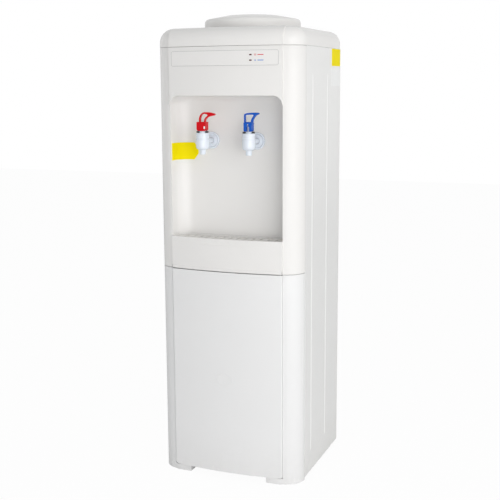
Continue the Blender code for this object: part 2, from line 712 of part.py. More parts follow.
PAN_EDGE = 26 * MM
PAN_REAR = REAR_Y - SHEET - SEAT
REAR_FOOT_RADIUS = 15 * MM
REAR_FOOT_INSET = 37 * MM
REAR_FOOT_SETBACK = 33 * MM
REAR_FOOT_X = HALF_WIDTH - REAR_FOOT_INSET
REAR_FOOT_Y = REAR_Y - REAR_FOOT_SETBACK
SHELF_SETBACK = 13 * MM
SHELF_FRONT = PILASTER_Y + SHELF_SETBACK
SHELF_REAR = BACK_Y - SEAT
LOWER_SHELF_Z = CABINET_TOP + LINER_WALL + SEAT
UPPER_SHELF_Z = 716 * MM
HOSE_RADIUS = 5 * MM
PIPE_RADIUS = 2.4 * MM
HOT_X = -62 * MM
HOT_SETBACK = 88 * MM
HOT_Y = BACK_Y - HOT_SETBACK
HOT_STAND = 12 * MM
STAND_WALL = 6 * MM
HOT_FOAM = 10 * MM
HOT_BOTTOM = LOWER_SHELF_Z + SHEET + SEAT + HOT_STAND
FOAM_FLOOR = 10 * MM
FOAM_BOTTOM = UPPER_SHELF_Z + SHEET + SEAT
COLD_BOTTOM = FOAM_BOTTOM + FOAM_FLOOR + SEAT
SPOUT_END = UPPER_SHELF_Z - 2 * HOSE_RADIUS
SPOUT_X = 20 * MM
SPOUT_SHIFT = 15 * MM
COLD_SPOUTS = ((SPOUT_X, SEAT_CENTRE_Y), (-SPOUT_X, SEAT_CENTRE_Y + SPOUT_SHIFT))
DRAIN_X = 60 * MM
DRAIN_RISE = 17 * MM
DRAIN_Z = BACK_BOTTOM + DRAIN_RISE
DRAIN_RADIUS = 7 * MM
HOSE_SETBACK = 15 * MM
HOSE_DROP_Y = BACK_Y - HOSE_SETBACK


def mount_places():
    """Plan places of the compressor's four rubber mounts."""
    corners = ((-1, -1), (1, -1), (1, 1), (-1, 1))
    return [(COMPRESSOR_X + a * MOUNT_REACH, COMPRESSOR_Y + b * MOUNT_REACH)
            for a, b in corners]


def make_base():
    """Folded base pan with its two rear feet and the compressor's four mounts."""
    front = FRAME_BACK + SEAT
    inner = PILASTER_Y + FOOT_DEPTH / 2
    half = SHELF_HALF
    narrow = FOOT_HALF + FOOT_DEPTH / 2
    plan = [(-narrow, front), (narrow, front), (narrow, inner), (half, inner),
            (half, PAN_REAR), (-half, PAN_REAR), (-half, inner), (-narrow, inner)]
    pan = prism("base_pan", plan, PAN_BOTTOM, PAN_TOP)
    edges = []
    for side in (-1, 1):
        a, b = side * half, side * (half - LINER_WALL)
        edges.append(block("edge", (min(a, b), inner, PAN_BOTTOM),
                           (max(a, b), PAN_REAR, PAN_TOP + PAN_EDGE)))
    edges.append(block("edge", (-half, PAN_REAR - LINER_WALL, PAN_BOTTOM),
                       (half, PAN_REAR, PAN_TOP + PAN_EDGE)))
    for side in (-1, 1):
        chamfer = 2 * MM
        grip = PAN_BOTTOM + LINER_WALL / 2
        edges.append(turned("foot", [(0, 0), (REAR_FOOT_RADIUS - chamfer, 0),
                                     (REAR_FOOT_RADIUS, chamfer), (REAR_FOOT_RADIUS, grip),
                                     (0, grip)], (side * REAR_FOOT_X, REAR_FOOT_Y, 0), 16))
    base = PAN_TOP
    grip = PAN_TOP - LINER_WALL / 2
    pin = MOUNT_RADIUS * 0.4
    top = base + MOUNT_HEIGHT
    for x, y in mount_places():
        edges.append(turned("mount", [
            (0, grip), (MOUNT_RADIUS, grip), (MOUNT_RADIUS * 0.75, base + MOUNT_HEIGHT * 0.5),
            (MOUNT_RADIUS, top), (pin, top), (pin, top + pin + LINER_WALL),
            (0, top + pin + LINER_WALL)], (x, y, 0), 12))
    paint(join(pan, *edges), STEEL, 0.5, 0.6)


def make_back_panel():
    """Recessed sheet back above the open bay, with the condenser's two rails."""
    panel = block("back_panel", (-SHELF_HALF, BACK_Y, BACK_BOTTOM),
                  (SHELF_HALF, BACK_Y + SHEET, PANEL_TOP))
    folds = []
    for side in (-1, 1):
        a, b = side * SHELF_HALF, side * (SHELF_HALF - SHEET)
        folds.append(block("fold", (min(a, b), BACK_Y, BACK_BOTTOM),
                           (max(a, b), BACK_Y + FOOT_HEIGHT, PANEL_TOP)))
    near = BACK_Y + SHEET / 2
    far = CONDENSER_Y - PIPE_RADIUS - SEAT
    for side in (-1, 1):
        x = side * RAIL_X
        half = RAIL_WIDTH / 2
        plan = [(x - half, near), (x - half + SHEET, near), (x - half + SHEET, far - SHEET),
                (x + half, far - SHEET), (x + half, far), (x - half, far)]
        folds.append(prism("rail", plan, CONDENSER_LOW - RAIL_WIDTH,
                           CONDENSER_HIGH + RAIL_WIDTH))
    join(panel, *folds)
    holes = [rod("hole", (DRAIN_X, BACK_Y, DRAIN_Z), DRAIN_RADIUS + SEAT, -OVERRUN, OVERRUN,
                 20, "Y"),
             rod("hole", (CORD_X, BACK_Y, DRAIN_Z), CORD_RADIUS + SEAT, -OVERRUN, OVERRUN,
                 20, "Y")]
    for x in SWITCH_PLACES:
        holes.append(switch_box(x, SEAT, BACK_Y - OVERRUN, BACK_Y + OVERRUN))
    return paint(cut(panel, *holes), STEEL, 0.45, 0.5)


def make_shelves():
    """Two sheet shelves: the lower carries the hot tank, the upper the cold tank."""
    shelf = block("lower_shelf", (-SHELF_HALF, SHELF_FRONT, LOWER_SHELF_Z),
                  (SHELF_HALF, SHELF_REAR, LOWER_SHELF_Z + SHEET))
    holes = [rod("hole", (HOT_X, HOSE_DROP_Y, LOWER_SHELF_Z), HOSE_RADIUS + 5 * RUN,
                 -OVERRUN, OVERRUN, 16)]
    for x, y in PIPE_DROPS:
        holes.append(rod("hole", (x, y, LOWER_SHELF_Z), PIPE_RADIUS * 2, -OVERRUN,
                         OVERRUN, 12))
    cut(shelf, *holes)
    grip = LOWER_SHELF_Z + SHEET / 2
    outer = HOT_RADIUS - 2 * STAND_WALL
    stand = turned("stand", [(outer - STAND_WALL, grip), (outer, grip),
                             (outer, HOT_BOTTOM - SEAT), (outer - STAND_WALL, HOT_BOTTOM - SEAT)],
                   (HOT_X, HOT_Y, 0), 24)
    paint(join(shelf, stand), STEEL, 0.45, 0.6)
    shelf = block("upper_shelf", (-SHELF_HALF, SHELF_FRONT, UPPER_SHELF_Z),
                  (SHELF_HALF, SHELF_REAR, UPPER_SHELF_Z + SHEET))
    holes = [rod("hole", (x, y, UPPER_SHELF_Z), HOSE_RADIUS + RUN, -OVERRUN, OVERRUN, 16)
             for x, y in COLD_SPOUTS]
    holes += [rod("hole", (x, y, UPPER_SHELF_Z), PIPE_RADIUS * 2, -OVERRUN, OVERRUN, 12)
              for x, y in COIL_TAILS]
    paint(cut(shelf, *holes), STEEL, 0.45, 0.6)


NECK_RADIUS = 33 * MM
NECK_BORE = 30 * MM
NECK_DEPTH = 80 * MM
PROBE_RADIUS = 9 * MM


def make_bottle_seat():
    """Turned bottle seat with its funnel and neck, and the feed probe inside it."""
    base = COVER_TOP + SEAT
    top = base + SEAT_HEIGHT - SEAT
    wall = SEAT_WALL
    skirt = SEAT_RADIUS - SEAT_LEDGE - 2 * SEAT
    low = base - NECK_DEPTH
    thin = TUB_WALL
    profile = [
        (skirt - thin, base - FOOT_HEIGHT), (skirt, base - FOOT_HEIGHT), (skirt, base),
        (SEAT_RADIUS, base), (SEAT_RADIUS, base + wall * 0.9),
        (SEAT_RADIUS - wall * 0.08, base + wall * 1.12),
        (SEAT_RADIUS - wall * 0.22, base + wall * 1.26),
        (SEAT_RADIUS - wall * 0.40, base + wall * 1.33),
        (SEAT_RIM_RADIUS + thin, top - thin * 0.3), (SEAT_RIM_RADIUS, top),
        (SEAT_RIM_RADIUS - thin, top - thin * 0.4),
        (SEAT_RIM_RADIUS - 2 * thin, base + wall * 0.7),
        (NECK_BORE + thin, base - wall * 0.4), (NECK_BORE, base - wall * 0.8),
        (NECK_BORE, low), (NECK_RADIUS, low), (NECK_RADIUS, base - wall * 0.9),
        (SEAT_RIM_RADIUS - thin, base + wall * 0.4), (SEAT_RIM_RADIUS + thin, top - 2.2 * thin),
        (skirt - thin, base + wall * 1.0),
    ]
    seat = turned("bottle_seat", profile, (0, SEAT_CENTRE_Y, 0), 30)
    paint(seat, WHITE, 0.3)

    floor = base - wall * 1.2
    arm = block("arm", (-NECK_BORE + SEAT, SEAT_CENTRE_Y - thin / 2, floor - thin * 2),
                (NECK_BORE - SEAT, SEAT_CENTRE_Y + thin / 2, floor))
    bar = block("bar", (-thin / 2, SEAT_CENTRE_Y - NECK_BORE + 2 * SEAT, floor - thin * 2),
                (thin / 2, SEAT_CENTRE_Y + NECK_BORE - 2 * SEAT, floor))
    probe = turned("feed_probe", [
        (PROBE_RADIUS - thin, low + thin), (PROBE_RADIUS, low + thin),
        (PROBE_RADIUS, base + wall * 0.3), (PROBE_RADIUS * 0.75, base + wall * 0.75),
        (PROBE_RADIUS - thin, base + wall * 0.8)], (0, SEAT_CENTRE_Y, 0), 14)
    bore = rod("bore", (0, SEAT_CENTRE_Y, 0), PROBE_RADIUS - thin, low - thin,
               base + SEAT_HEIGHT, 14)
    paint(cut(join(probe, arm, bar), bore), PALE, 0.35)


def make_cold_tank():
    """Cold pot with its lid and separator, the coil wound on it and the foam round it."""
    wall = SHEET
    top = COLD_BOTTOM + COLD_HEIGHT - FOAM_FLOOR
    centre = (0, SEAT_CENTRE_Y, 0)
    lip = 4 * MM
    pot = turned("cold_tank", [
        (0, COLD_BOTTOM), (COLD_RADIUS, COLD_BOTTOM), (COLD_RADIUS, top - SHEET),
        (COLD_RADIUS + lip, top - SHEET), (COLD_RADIUS + lip, top),
        (COLD_RADIUS - wall, top), (COLD_RADIUS - wall, COLD_BOTTOM + wall),
        (0, COLD_BOTTOM + wall)], centre, 24)
    spouts = [rod("spout", (x, y, 0), HOSE_RADIUS, SPOUT_END, COLD_BOTTOM + wall / 2, 16)
              for x, y in COLD_SPOUTS]
    join(pot, *spouts)
    bores = [rod("bore", (x, y, 0), HOSE_RADIUS - LINER_WALL, SPOUT_END - OVERRUN,
                 COLD_BOTTOM + OVERRUN, 12) for x, y in COLD_SPOUTS]
    paint(cut(pot, *bores), STEEL, 0.25, 1)

    lid = turned("tank_lid", [
        (NECK_RADIUS + RUN, top + SEAT), (COLD_RADIUS + lip, top + SEAT),
        (COLD_RADIUS + lip, top + SEAT + LINER_WALL),
        (NECK_RADIUS + RUN, top + SEAT + LINER_WALL)], centre, 24)
    paint(lid, PALE, 0.5)

    plate_z = COLD_BOTTOM + COLD_HEIGHT * 0.45
    x, y = COLD_SPOUTS[1]
    plate = rod("tank_baffle", centre, COLD_RADIUS - wall - RUN, plate_z, plate_z + LINER_WALL, 24)
    stem = rod("stem", (x, y, 0), HOSE_RADIUS, COLD_BOTTOM + wall + SEAT, plate_z + wall, 16)
    bore = rod("bore", (x, y, 0), HOSE_RADIUS - LINER_WALL, COLD_BOTTOM, plate_z + OVERRUN, 12)
    paint(cut(join(plate, stem), bore), PALE, 0.5)

    make_evaporator()

    room = COIL_RING + PIPE_RADIUS + COIL_AIR
    foam_top = top - SHEET - SEAT
    foam = turned("tank_insulation", [
        (0, FOAM_BOTTOM), (FOAM_RADIUS, FOAM_BOTTOM), (FOAM_RADIUS, foam_top),
        (room, foam_top), (room, COLD_BOTTOM - SEAT), (0, COLD_BOTTOM - SEAT)], centre, 24)
    holes = [rod("hole", (x, y, 0), HOSE_RADIUS + RUN, FOAM_BOTTOM - OVERRUN,
                 COLD_BOTTOM + OVERRUN, 16) for x, y in COLD_SPOUTS]
    holes += [rod("hole", (x, y, 0), PIPE_RADIUS + 2 * RUN, FOAM_BOTTOM - OVERRUN,
                  COLD_BOTTOM + OVERRUN, 12) for x, y in COIL_TAILS]
    paint(cut(foam, *holes), FOAM, 0.9)


STUB = 8 * MM
PIPE_STEP = 4 * PIPE_RADIUS


def make_evaporator():
    """Coil wound up the cold pot, brazed to the suction line from the compressor."""
    step = PIPE_STEP
    suck_x, suck_y = PIPE_DROPS[1]
    tail_x, tail_y = COIL_TAILS[0]
    side_x = COMPRESSOR_X + COMPRESSOR_RADIUS + STUB + SEAT
    shelf = LOWER_SHELF_Z
    suction = [
        (side_x, COMPRESSOR_Y, STUB_Z), (side_x + step / 2, COMPRESSOR_Y, STUB_Z),
        (side_x + 1.6 * step, COMPRESSOR_Y - step, STUB_Z + 4 * step),
        (suck_x + step, suck_y - 1.5 * step, DRIER_HIGH + 2 * step),
        (suck_x + step / 2, BACK_Y - 2 * step, BACK_BOTTOM - 5 * step),
        (suck_x, suck_y, shelf - 4 * step), (suck_x, suck_y, shelf + 4 * step),
        (suck_x - step, suck_y, shelf + 14 * step),
        (tail_x + step, tail_y + step, SPOUT_END - 4 * step),
        (tail_x, tail_y, SPOUT_END - step), (tail_x, tail_y, COLD_BOTTOM + HOSE_RADIUS)]
    path = smooth_path(suction)
    per_turn = 16
    low = COLD_BOTTOM + 2 * HOSE_RADIUS
    for k in range(1, int(COIL_TURNS * per_turn) + 1):
        angle = COIL_START + math.tau * k / per_turn
        path.append((COIL_RING * math.cos(angle), SEAT_CENTRE_Y + COIL_RING * math.sin(angle),
                     low + PIPE_STEP * k / per_turn))
    return paint(pipe("evaporator_coil", path, PIPE_RADIUS), COPPER, 0.35, 1)


COIL_TURNS = 4.25
COIL_START = math.radians(50)
COIL_AIR = 1.4 * MM
COIL_RING = COLD_RADIUS + PIPE_RADIUS + COIL_AIR
COIL_TAILS = tuple((COIL_RING * math.cos(a), SEAT_CENTRE_Y + COIL_RING * math.sin(a))
                   for a in (COIL_START, math.radians(20)))


def make_hot_tank():
    """Hot tank with its inlet and drain spouts, its foam sleeve and its thermostat."""
    low = HOT_BOTTOM
    top = low + HOT_HEIGHT
    centre = (HOT_X, HOT_Y, 0)
    dome = 8 * MM
    tank = turned("hot_tank", [
        (0, low), (HOT_RADIUS - dome, low), (HOT_RADIUS, low + dome), (HOT_RADIUS, top - dome),
        (HOT_RADIUS - dome, top), (HOSE_RADIUS, top), (HOSE_RADIUS, top + 3 * HOSE_RADIUS),
        (0, top + 3 * HOSE_RADIUS)], centre, 24)
    feed = rod("feed", (HOT_X, HOT_Y, low + FEED_RISE), HOSE_RADIUS, HOT_RADIUS / 2,
               FEED_REACH, 16, "X")
    drain = rod("drain", (HOT_X, HOT_Y, low + FEED_RISE), HOSE_RADIUS, HOT_RADIUS / 2,
                DRAIN_REACH, 16, "Y")
    paint(join(tank, feed, drain), STEEL, 0.25, 1)
    sleeve_low = low + FEED_RISE + 2 * HOSE_RADIUS
    foam = turned("hot_tank_jacket", [
        (HOT_RADIUS + SEAT, sleeve_low), (HOT_RADIUS + HOT_FOAM, sleeve_low),
        (HOT_RADIUS + HOT_FOAM, top - dome), (HOT_RADIUS + SEAT, top - dome)], centre, 24)
    spot = (HOT_X, HOT_Y, low + HOT_HEIGHT * 0.62)
    far = -HOT_RADIUS - HOT_FOAM - THERMOSTAT_RADIUS / 2
    window = rod("window", spot, THERMOSTAT_RADIUS + RUN, far, -HOT_RADIUS / 2, 16, "Y")
    paint(cut(foam, window), FOAM, 0.9)
    body = rod("thermostat", spot, THERMOSTAT_RADIUS, far, -HOT_RADIUS / 2, 16, "Y")
    paint(cut(body, rod("shell", centre, HOT_RADIUS + SEAT, low, top, 24)), DARK, 0.5)


FEED_RISE = 15 * MM
FEED_REACH = 62 * MM
DRAIN_REACH = 60 * MM
THERMOSTAT_RADIUS = 9 * MM
PIPE_SETBACK = 20 * MM
CAPILLARY_INSET = 23 * MM
SUCTION_INSET = 45 * MM
PIPE_DROPS = ((HALF_WIDTH - CAPILLARY_INSET, BACK_Y - PIPE_SETBACK),
              (HALF_WIDTH - SUCTION_INSET, BACK_Y - PIPE_SETBACK))


def make_hoses():
    """Food-grade hoses between the tanks, the taps and the drain."""
    y_tap = TUB_BACK + INLET_TAIL + SEAT
    hot_top = HOT_BOTTOM + HOT_HEIGHT + 3 * HOSE_RADIUS + SEAT
    feed_z = HOT_BOTTOM + FEED_RISE
    (cold_x, cold_y), (feed_x, feed_y) = COLD_SPOUTS
    spout = SPOUT_END - SEAT
    tap_x = TAP_SPACING / 2
    bend = 3 * HOSE_RADIUS
    routes = {
        "cold_hose": [(cold_x, cold_y, spout), (cold_x, cold_y, spout - HOSE_RADIUS),
                      (cold_x + HOSE_RADIUS, cold_y - bend, spout - 1.6 * bend),
                      (tap_x, y_tap + 2 * bend, INLET_Z - bend),
                      (tap_x, y_tap + HOSE_RADIUS, INLET_Z), (tap_x, y_tap, INLET_Z)],
        "hot_hose": [(HOT_X, HOT_Y, hot_top), (HOT_X, HOT_Y, hot_top + HOSE_RADIUS),
                     (HOT_X, HOT_Y - bend, hot_top + 3 * bend),
                     (-tap_x, y_tap + 2 * bend, INLET_Z - bend / 2),
                     (-tap_x, y_tap + HOSE_RADIUS, INLET_Z), (-tap_x, y_tap, INLET_Z)],
        "feed_hose": [(feed_x, feed_y, spout), (feed_x, feed_y, spout - HOSE_RADIUS),
                      (feed_x + 2 * bend, feed_y, spout - 4 * bend),
                      (HOT_X + FEED_REACH + 2 * bend, HOT_Y, feed_z + 4 * bend),
                      (HOT_X + FEED_REACH + bend, HOT_Y, feed_z + HOSE_RADIUS),
                      (HOT_X + FEED_REACH + SEAT + HOSE_RADIUS, HOT_Y, feed_z),
                      (HOT_X + FEED_REACH + SEAT, HOT_Y, feed_z)],
        "drain_hose": [(HOT_X, HOT_Y + DRAIN_REACH + SEAT, feed_z),
                       (HOT_X, HOT_Y + DRAIN_REACH + HOSE_RADIUS, feed_z),
                       (HOT_X, HOSE_DROP_Y, LOWER_SHELF_Z + HOSE_RADIUS),
                       (HOT_X, HOSE_DROP_Y, LOWER_SHELF_Z - HOSE_RADIUS),
                       (HOT_X + bend, HOSE_DROP_Y - HOSE_RADIUS, (LOWER_SHELF_Z + DRAIN_Z) / 2),
                       (DRAIN_X - 2 * bend, HOSE_DROP_Y - bend, DRAIN_Z + bend),
                       (DRAIN_X, BACK_Y - DRAIN_TAIL - bend, DRAIN_Z),
                       (DRAIN_X, BACK_Y - DRAIN_TAIL - SEAT, DRAIN_Z)],
    }
    for name, route in routes.items():
        paint(pipe(name, smooth_path(route), HOSE_RADIUS, 2), PALE, 0.4)


DRAIN_TAIL = 9 * MM
DRAIN_CAP_LENGTH = 12 * MM
INLET_TAIL = 13 * MM
CORD_INSET = 60 * MM
CORD_X = -HALF_WIDTH + CORD_INSET
CORD_RADIUS = 8 * MM


def make_drain_and_inlet():
    """Drain spout and cap through the back, and the empty bush of the mains cable."""
    face = SHEET + SEAT
    flange = 3 * MM
    bore = DRAIN_RADIUS - TUB_WALL
    fitting = turned("drain_fitting", [
        (bore, -DRAIN_TAIL), (DRAIN_RADIUS, -DRAIN_TAIL), (DRAIN_RADIUS, face),
        (DRAIN_RADIUS + flange, face), (DRAIN_RADIUS + flange, face + flange),
        (DRAIN_RADIUS, face + flange), (DRAIN_RADIUS, face + flange + 2 * flange),
        (bore, face + flange + 2 * flange)], (DRAIN_X, BACK_Y, DRAIN_Z), 14, "Y")
    paint(fitting, WHITE, 0.4)
    start = face + flange + SEAT
    end = start + DRAIN_CAP_LENGTH - flange
    cap = turned("drain_cap", [
        (DRAIN_RADIUS + SEAT, start), (DRAIN_RADIUS + flange, start),
        (DRAIN_RADIUS + flange, end), (0, end), (0, end - flange / 2),
        (DRAIN_RADIUS + SEAT, end - flange / 2)], (DRAIN_X, BACK_Y, DRAIN_Z), 14, "Y")
    paint(cap, DARK, 0.5)
    bush = turned("cord_inlet", [
        (CORD_RADIUS / 2, -flange), (CORD_RADIUS, -flange), (CORD_RADIUS, face),
        (CORD_RADIUS + flange, face), (CORD_RADIUS + flange, face + flange / 2),
        (CORD_RADIUS * 0.75, face + 2 * flange), (CORD_RADIUS / 2, face + 2 * flange)],
        (CORD_X, BACK_Y, DRAIN_Z), 14, "Y")
    paint(bush, RUBBER, 0.7)


COMPRESSOR_INSET = 120 * MM
COMPRESSOR_SETBACK = 40 * MM
COMPRESSOR_X = HALF_WIDTH - COMPRESSOR_INSET
COMPRESSOR_Y = BACK_Y - COMPRESSOR_SETBACK
MOUNT_HEIGHT = 12 * MM
MOUNT_RADIUS = 9 * MM
MOUNT_REACH = 52 * MM
DRIER_INSET = 37 * MM
DRIER_X = HALF_WIDTH - DRIER_INSET
DRIER_Y = BACK_Y - PIPE_SETBACK
DRIER_RADIUS = 9 * MM
DRIER_LOW = 110 * MM
DRIER_HIGH = 195 * MM
STUB_Z = PAN_TOP + MOUNT_HEIGHT + SEAT + COMPRESSOR_HEIGHT * 0.66
CONDENSER_FOOT = 45 * MM
CONDENSER_DROP = 86 * MM
CONDENSER_INSET = 33 * MM
CONDENSER_STANDOFF = 10.5 * MM
CONDENSER_LOW = BACK_BOTTOM + CONDENSER_FOOT
CONDENSER_HIGH = SEAM_TOP_Z - CONDENSER_DROP
CONDENSER_HALF = HALF_WIDTH - CONDENSER_INSET
CONDENSER_Y = BACK_Y + CONDENSER_STANDOFF
RAIL_INSET = 85 * MM
RAIL_X = HALF_WIDTH - RAIL_INSET
RAIL_WIDTH = 14 * MM


def make_compressor():
    """Hermetic compressor on rubber mounts, with its starter box."""
    plate_low = PAN_TOP + MOUNT_HEIGHT + SEAT
    plate_high = plate_low + LINER_WALL
    grip = plate_high - LINER_WALL / 2
    top = plate_low + COMPRESSOR_HEIGHT
    r = COMPRESSOR_RADIUS
    centre = (COMPRESSOR_X, COMPRESSOR_Y, 0)
    seam = plate_low + COMPRESSOR_HEIGHT * 0.52
    band = 3 * MM
    shell = turned("compressor", [
        (0, grip), (r * 0.70, grip), (r * 0.88, plate_high + r * 0.12),
        (r * 0.96, plate_high + r * 0.32), (r * 0.96, seam), (r, seam), (r, seam + band),
        (r * 0.95, seam + band), (r * 0.93, top - r * 0.45), (r * 0.80, top - r * 0.18),
        (r * 0.48, top - r * 0.03), (0, top)], centre, 24)
    reach = MOUNT_REACH + MOUNT_RADIUS
    plate = prism("plate", [(COMPRESSOR_X + a, COMPRESSOR_Y + b) for a, b in
                            rounded(-reach, reach, -reach, reach, MOUNT_RADIUS)],
                  plate_low, plate_high)
    stubs = [rod("stub", (COMPRESSOR_X, COMPRESSOR_Y, STUB_Z), PIPE_RADIUS, -r - STUB, -r / 2,
                 10, "X"),
             rod("stub", (COMPRESSOR_X, COMPRESSOR_Y, STUB_Z), PIPE_RADIUS, r / 2, r + STUB,
                 10, "X")]
    join(shell, plate, *stubs)
    pin = MOUNT_RADIUS * 0.4
    holes = [rod("hole", (x, y, 0), pin + SEAT, plate_low - OVERRUN, plate_high + OVERRUN, 12)
             for x, y in mount_places()]
    paint(cut(shell, *holes), DARK, 0.35, 0.2)
    wide, deep, tall = 40 * MM, 30 * MM, 42 * MM
    box = block("starter_box", (COMPRESSOR_X - wide / 2, COMPRESSOR_Y - r - deep / 2,
                                seam - tall),
                (COMPRESSOR_X + wide / 2, COMPRESSOR_Y - r / 2, seam - band))
    around = rod("around", centre, r * 0.96 + SEAT, plate_low, seam + OVERRUN, 56)
    paint(cut(box, around), DARK, 0.5)


def make_condenser():
    """Serpentine condenser behind the back, and the line with the drier and capillary."""
    bend = (CONDENSER_HIGH - CONDENSER_LOW) / (CONDENSER_RUNS - 1) / 2
    straight = CONDENSER_HALF - bend
    path = []
    for k in range(CONDENSER_RUNS):
        z = CONDENSER_LOW + 2 * bend * k
        side = 1 if k % 2 == 0 else -1
        path.append((-side * straight, CONDENSER_Y, z))
        path.append((side * straight, CONDENSER_Y, z))
        if k < CONDENSER_RUNS - 1:
            for n in range(1, BEND_STEPS):
                angle = math.pi * (n / BEND_STEPS - 0.5)
                path.append((side * (straight + bend * math.cos(angle)), CONDENSER_Y,
                             z + bend + bend * math.sin(angle)))
    step = PIPE_STEP
    edge = CONDENSER_HALF + step
    port = COMPRESSOR_X - COMPRESSOR_RADIUS - STUB - SEAT
    discharge = [
        (port, COMPRESSOR_Y, STUB_Z), (port - step, COMPRESSOR_Y, STUB_Z),
        (port - 5 * step, COMPRESSOR_Y + 2 * step, STUB_Z + 4 * step),
        (-edge + step, CONDENSER_Y, BACK_BOTTOM - 3 * step),
        (-edge + step, CONDENSER_Y, BACK_BOTTOM + step),
        (-straight - 2 * step, CONDENSER_Y, CONDENSER_LOW - step / 4),
        (-straight - step, CONDENSER_Y, CONDENSER_LOW)]
    paint(pipe("condenser_coil", smooth_path(discharge) + path, PIPE_RADIUS),
          DARK, 0.5, 0.3)

    (cap_x, cap_y), _ = PIPE_DROPS
    end_x, end_y = COIL_TAILS[1]
    low = LOWER_SHELF_Z
    liquid = [
        (straight + SEAT, CONDENSER_Y, CONDENSER_HIGH),
        (straight + step, CONDENSER_Y, CONDENSER_HIGH),
        (edge - step / 2, CONDENSER_Y, CONDENSER_HIGH - step / 2),
        (edge, CONDENSER_Y, CONDENSER_HIGH - 3 * step),
        (edge, CONDENSER_Y, (CONDENSER_HIGH + CONDENSER_LOW) / 2),
        (edge, CONDENSER_Y, BACK_BOTTOM + step),
        (edge - step / 2, CONDENSER_Y - step, BACK_BOTTOM - 3 * step),
        (DRIER_X, DRIER_Y, DRIER_HIGH + 2 * step), (DRIER_X, DRIER_Y, DRIER_HIGH),
        (DRIER_X, DRIER_Y, DRIER_LOW), (DRIER_X, DRIER_Y, DRIER_LOW - step),
        (DRIER_X + step, DRIER_Y, DRIER_LOW - 2 * step),
        (DRIER_X + 2 * step, DRIER_Y, DRIER_LOW), (DRIER_X + 2 * step, DRIER_Y, DRIER_HIGH),
        (cap_x, cap_y, low - 4 * step), (cap_x, cap_y, low + 4 * step),
        (cap_x, cap_y - step, low + 16 * step),
        (end_x + 4 * step, end_y + step, SPOUT_END - 4 * step),
        (end_x, end_y, SPOUT_END - step), (end_x, end_y, SPOUT_END + step)]
    line = pipe("liquid_line", smooth_path(liquid), PIPE_RADIUS)
    neck = PIPE_RADIUS * 0.8
    drier = turned("drier", [
        (0, DRIER_LOW), (neck, DRIER_LOW), (DRIER_RADIUS, DRIER_LOW + DRIER_RADIUS),
        (DRIER_RADIUS, DRIER_HIGH - DRIER_RADIUS), (neck, DRIER_HIGH), (0, DRIER_HIGH)],
        (DRIER_X, DRIER_Y, 0), 16)
    paint(join(line, drier), COPPER, 0.35, 1)


SWITCH_DROP = 40 * MM
SWITCH_X = 45 * MM
SWITCH_PITCH = 30 * MM
SWITCH_Z = SEAM_TOP_Z - SWITCH_DROP
SWITCH_PLACES = (SWITCH_X, SWITCH_X + SWITCH_PITCH)
SWITCH_HALF_WIDTH = 6.5 * MM
SWITCH_HALF_HEIGHT = 10.8 * MM
SWITCH_WALL = 1.5 * MM
SWITCH_DEPTH = 14 * MM
ROCKER_ANGLE = math.radians(18)


def switch_box(x, gap, near, far):
    """The outside of one switch housing, grown by a gap."""
    wide = SWITCH_HALF_WIDTH + SWITCH_WALL + gap
    tall = SWITCH_HALF_HEIGHT + SWITCH_WALL + gap
    return block("housing", (x - wide, near, SWITCH_Z - tall), (x + wide, far, SWITCH_Z + tall))


def make_switches():
    """Switch plate with two housings let into the back, and their rockers."""
    face = BACK_Y + SHEET + SEAT
    front = face + LINER_WALL
    margin = 10 * MM
    outline = rounded(SWITCH_PLACES[0] - margin - SWITCH_HALF_WIDTH,
                      SWITCH_PLACES[1] + margin + SWITCH_HALF_WIDTH,
                      SWITCH_Z - margin - SWITCH_HALF_HEIGHT,
                      SWITCH_Z + margin + SWITCH_HALF_HEIGHT, SWITCH_WALL * 2)
    plate = prism("switch_plate", outline, face, front, "Y")
    join(plate, *[switch_box(x, 0, face - SWITCH_DEPTH, front - SWITCH_WALL / 3) for x in SWITCH_PLACES])
    hollows = []
    for x in SWITCH_PLACES:
        hollows.append(block("hollow", (x - SWITCH_HALF_WIDTH, face - SWITCH_DEPTH + SWITCH_WALL,
                                        SWITCH_Z - SWITCH_HALF_HEIGHT),
                             (x + SWITCH_HALF_WIDTH, front + OVERRUN,
                              SWITCH_Z + SWITCH_HALF_HEIGHT)))
    paint(cut(plate, *hollows), DARK, 0.5)
    reach = SWITCH_HALF_HEIGHT * 0.86
    hub = SWITCH_HALF_HEIGHT * 0.3
    pivot_y = front - SWITCH_WALL
    profile = [(-reach, hub * 0.5), (-hub, -hub), (hub, -hub), (reach, hub * 0.5),
               (reach, hub), (0, hub * 0.8), (-reach, hub)]
    tilt = -ROCKER_ANGLE / 2
    for name, x, colour in (("cool_switch", SWITCH_PLACES[0], BLUE),
                            ("heat_switch", SWITCH_PLACES[1], RED)):
        outline = [(y, z) for z, y in profile]
        rocker = prism(name, outline, -SWITCH_HALF_WIDTH + RUN, SWITCH_HALF_WIDTH - RUN, "X")
        rocker.data.transform(Matrix.Rotation(tilt, 4, "X"))
        rocker.location = (x, pivot_y, SWITCH_Z)
        paint(rocker, colour, 0.4)


GRILLE_THICK = 2 * MM
GRILLE_DROP = 5 * MM
GRILLE_Z = LIP_Z - GRILLE_DROP
GRILLE_SLOTS = 13
SLOT_WIDTH = 4 * MM
TRAY_WALL = 1.6 * MM
TRAY_LEDGE = 3.2 * MM


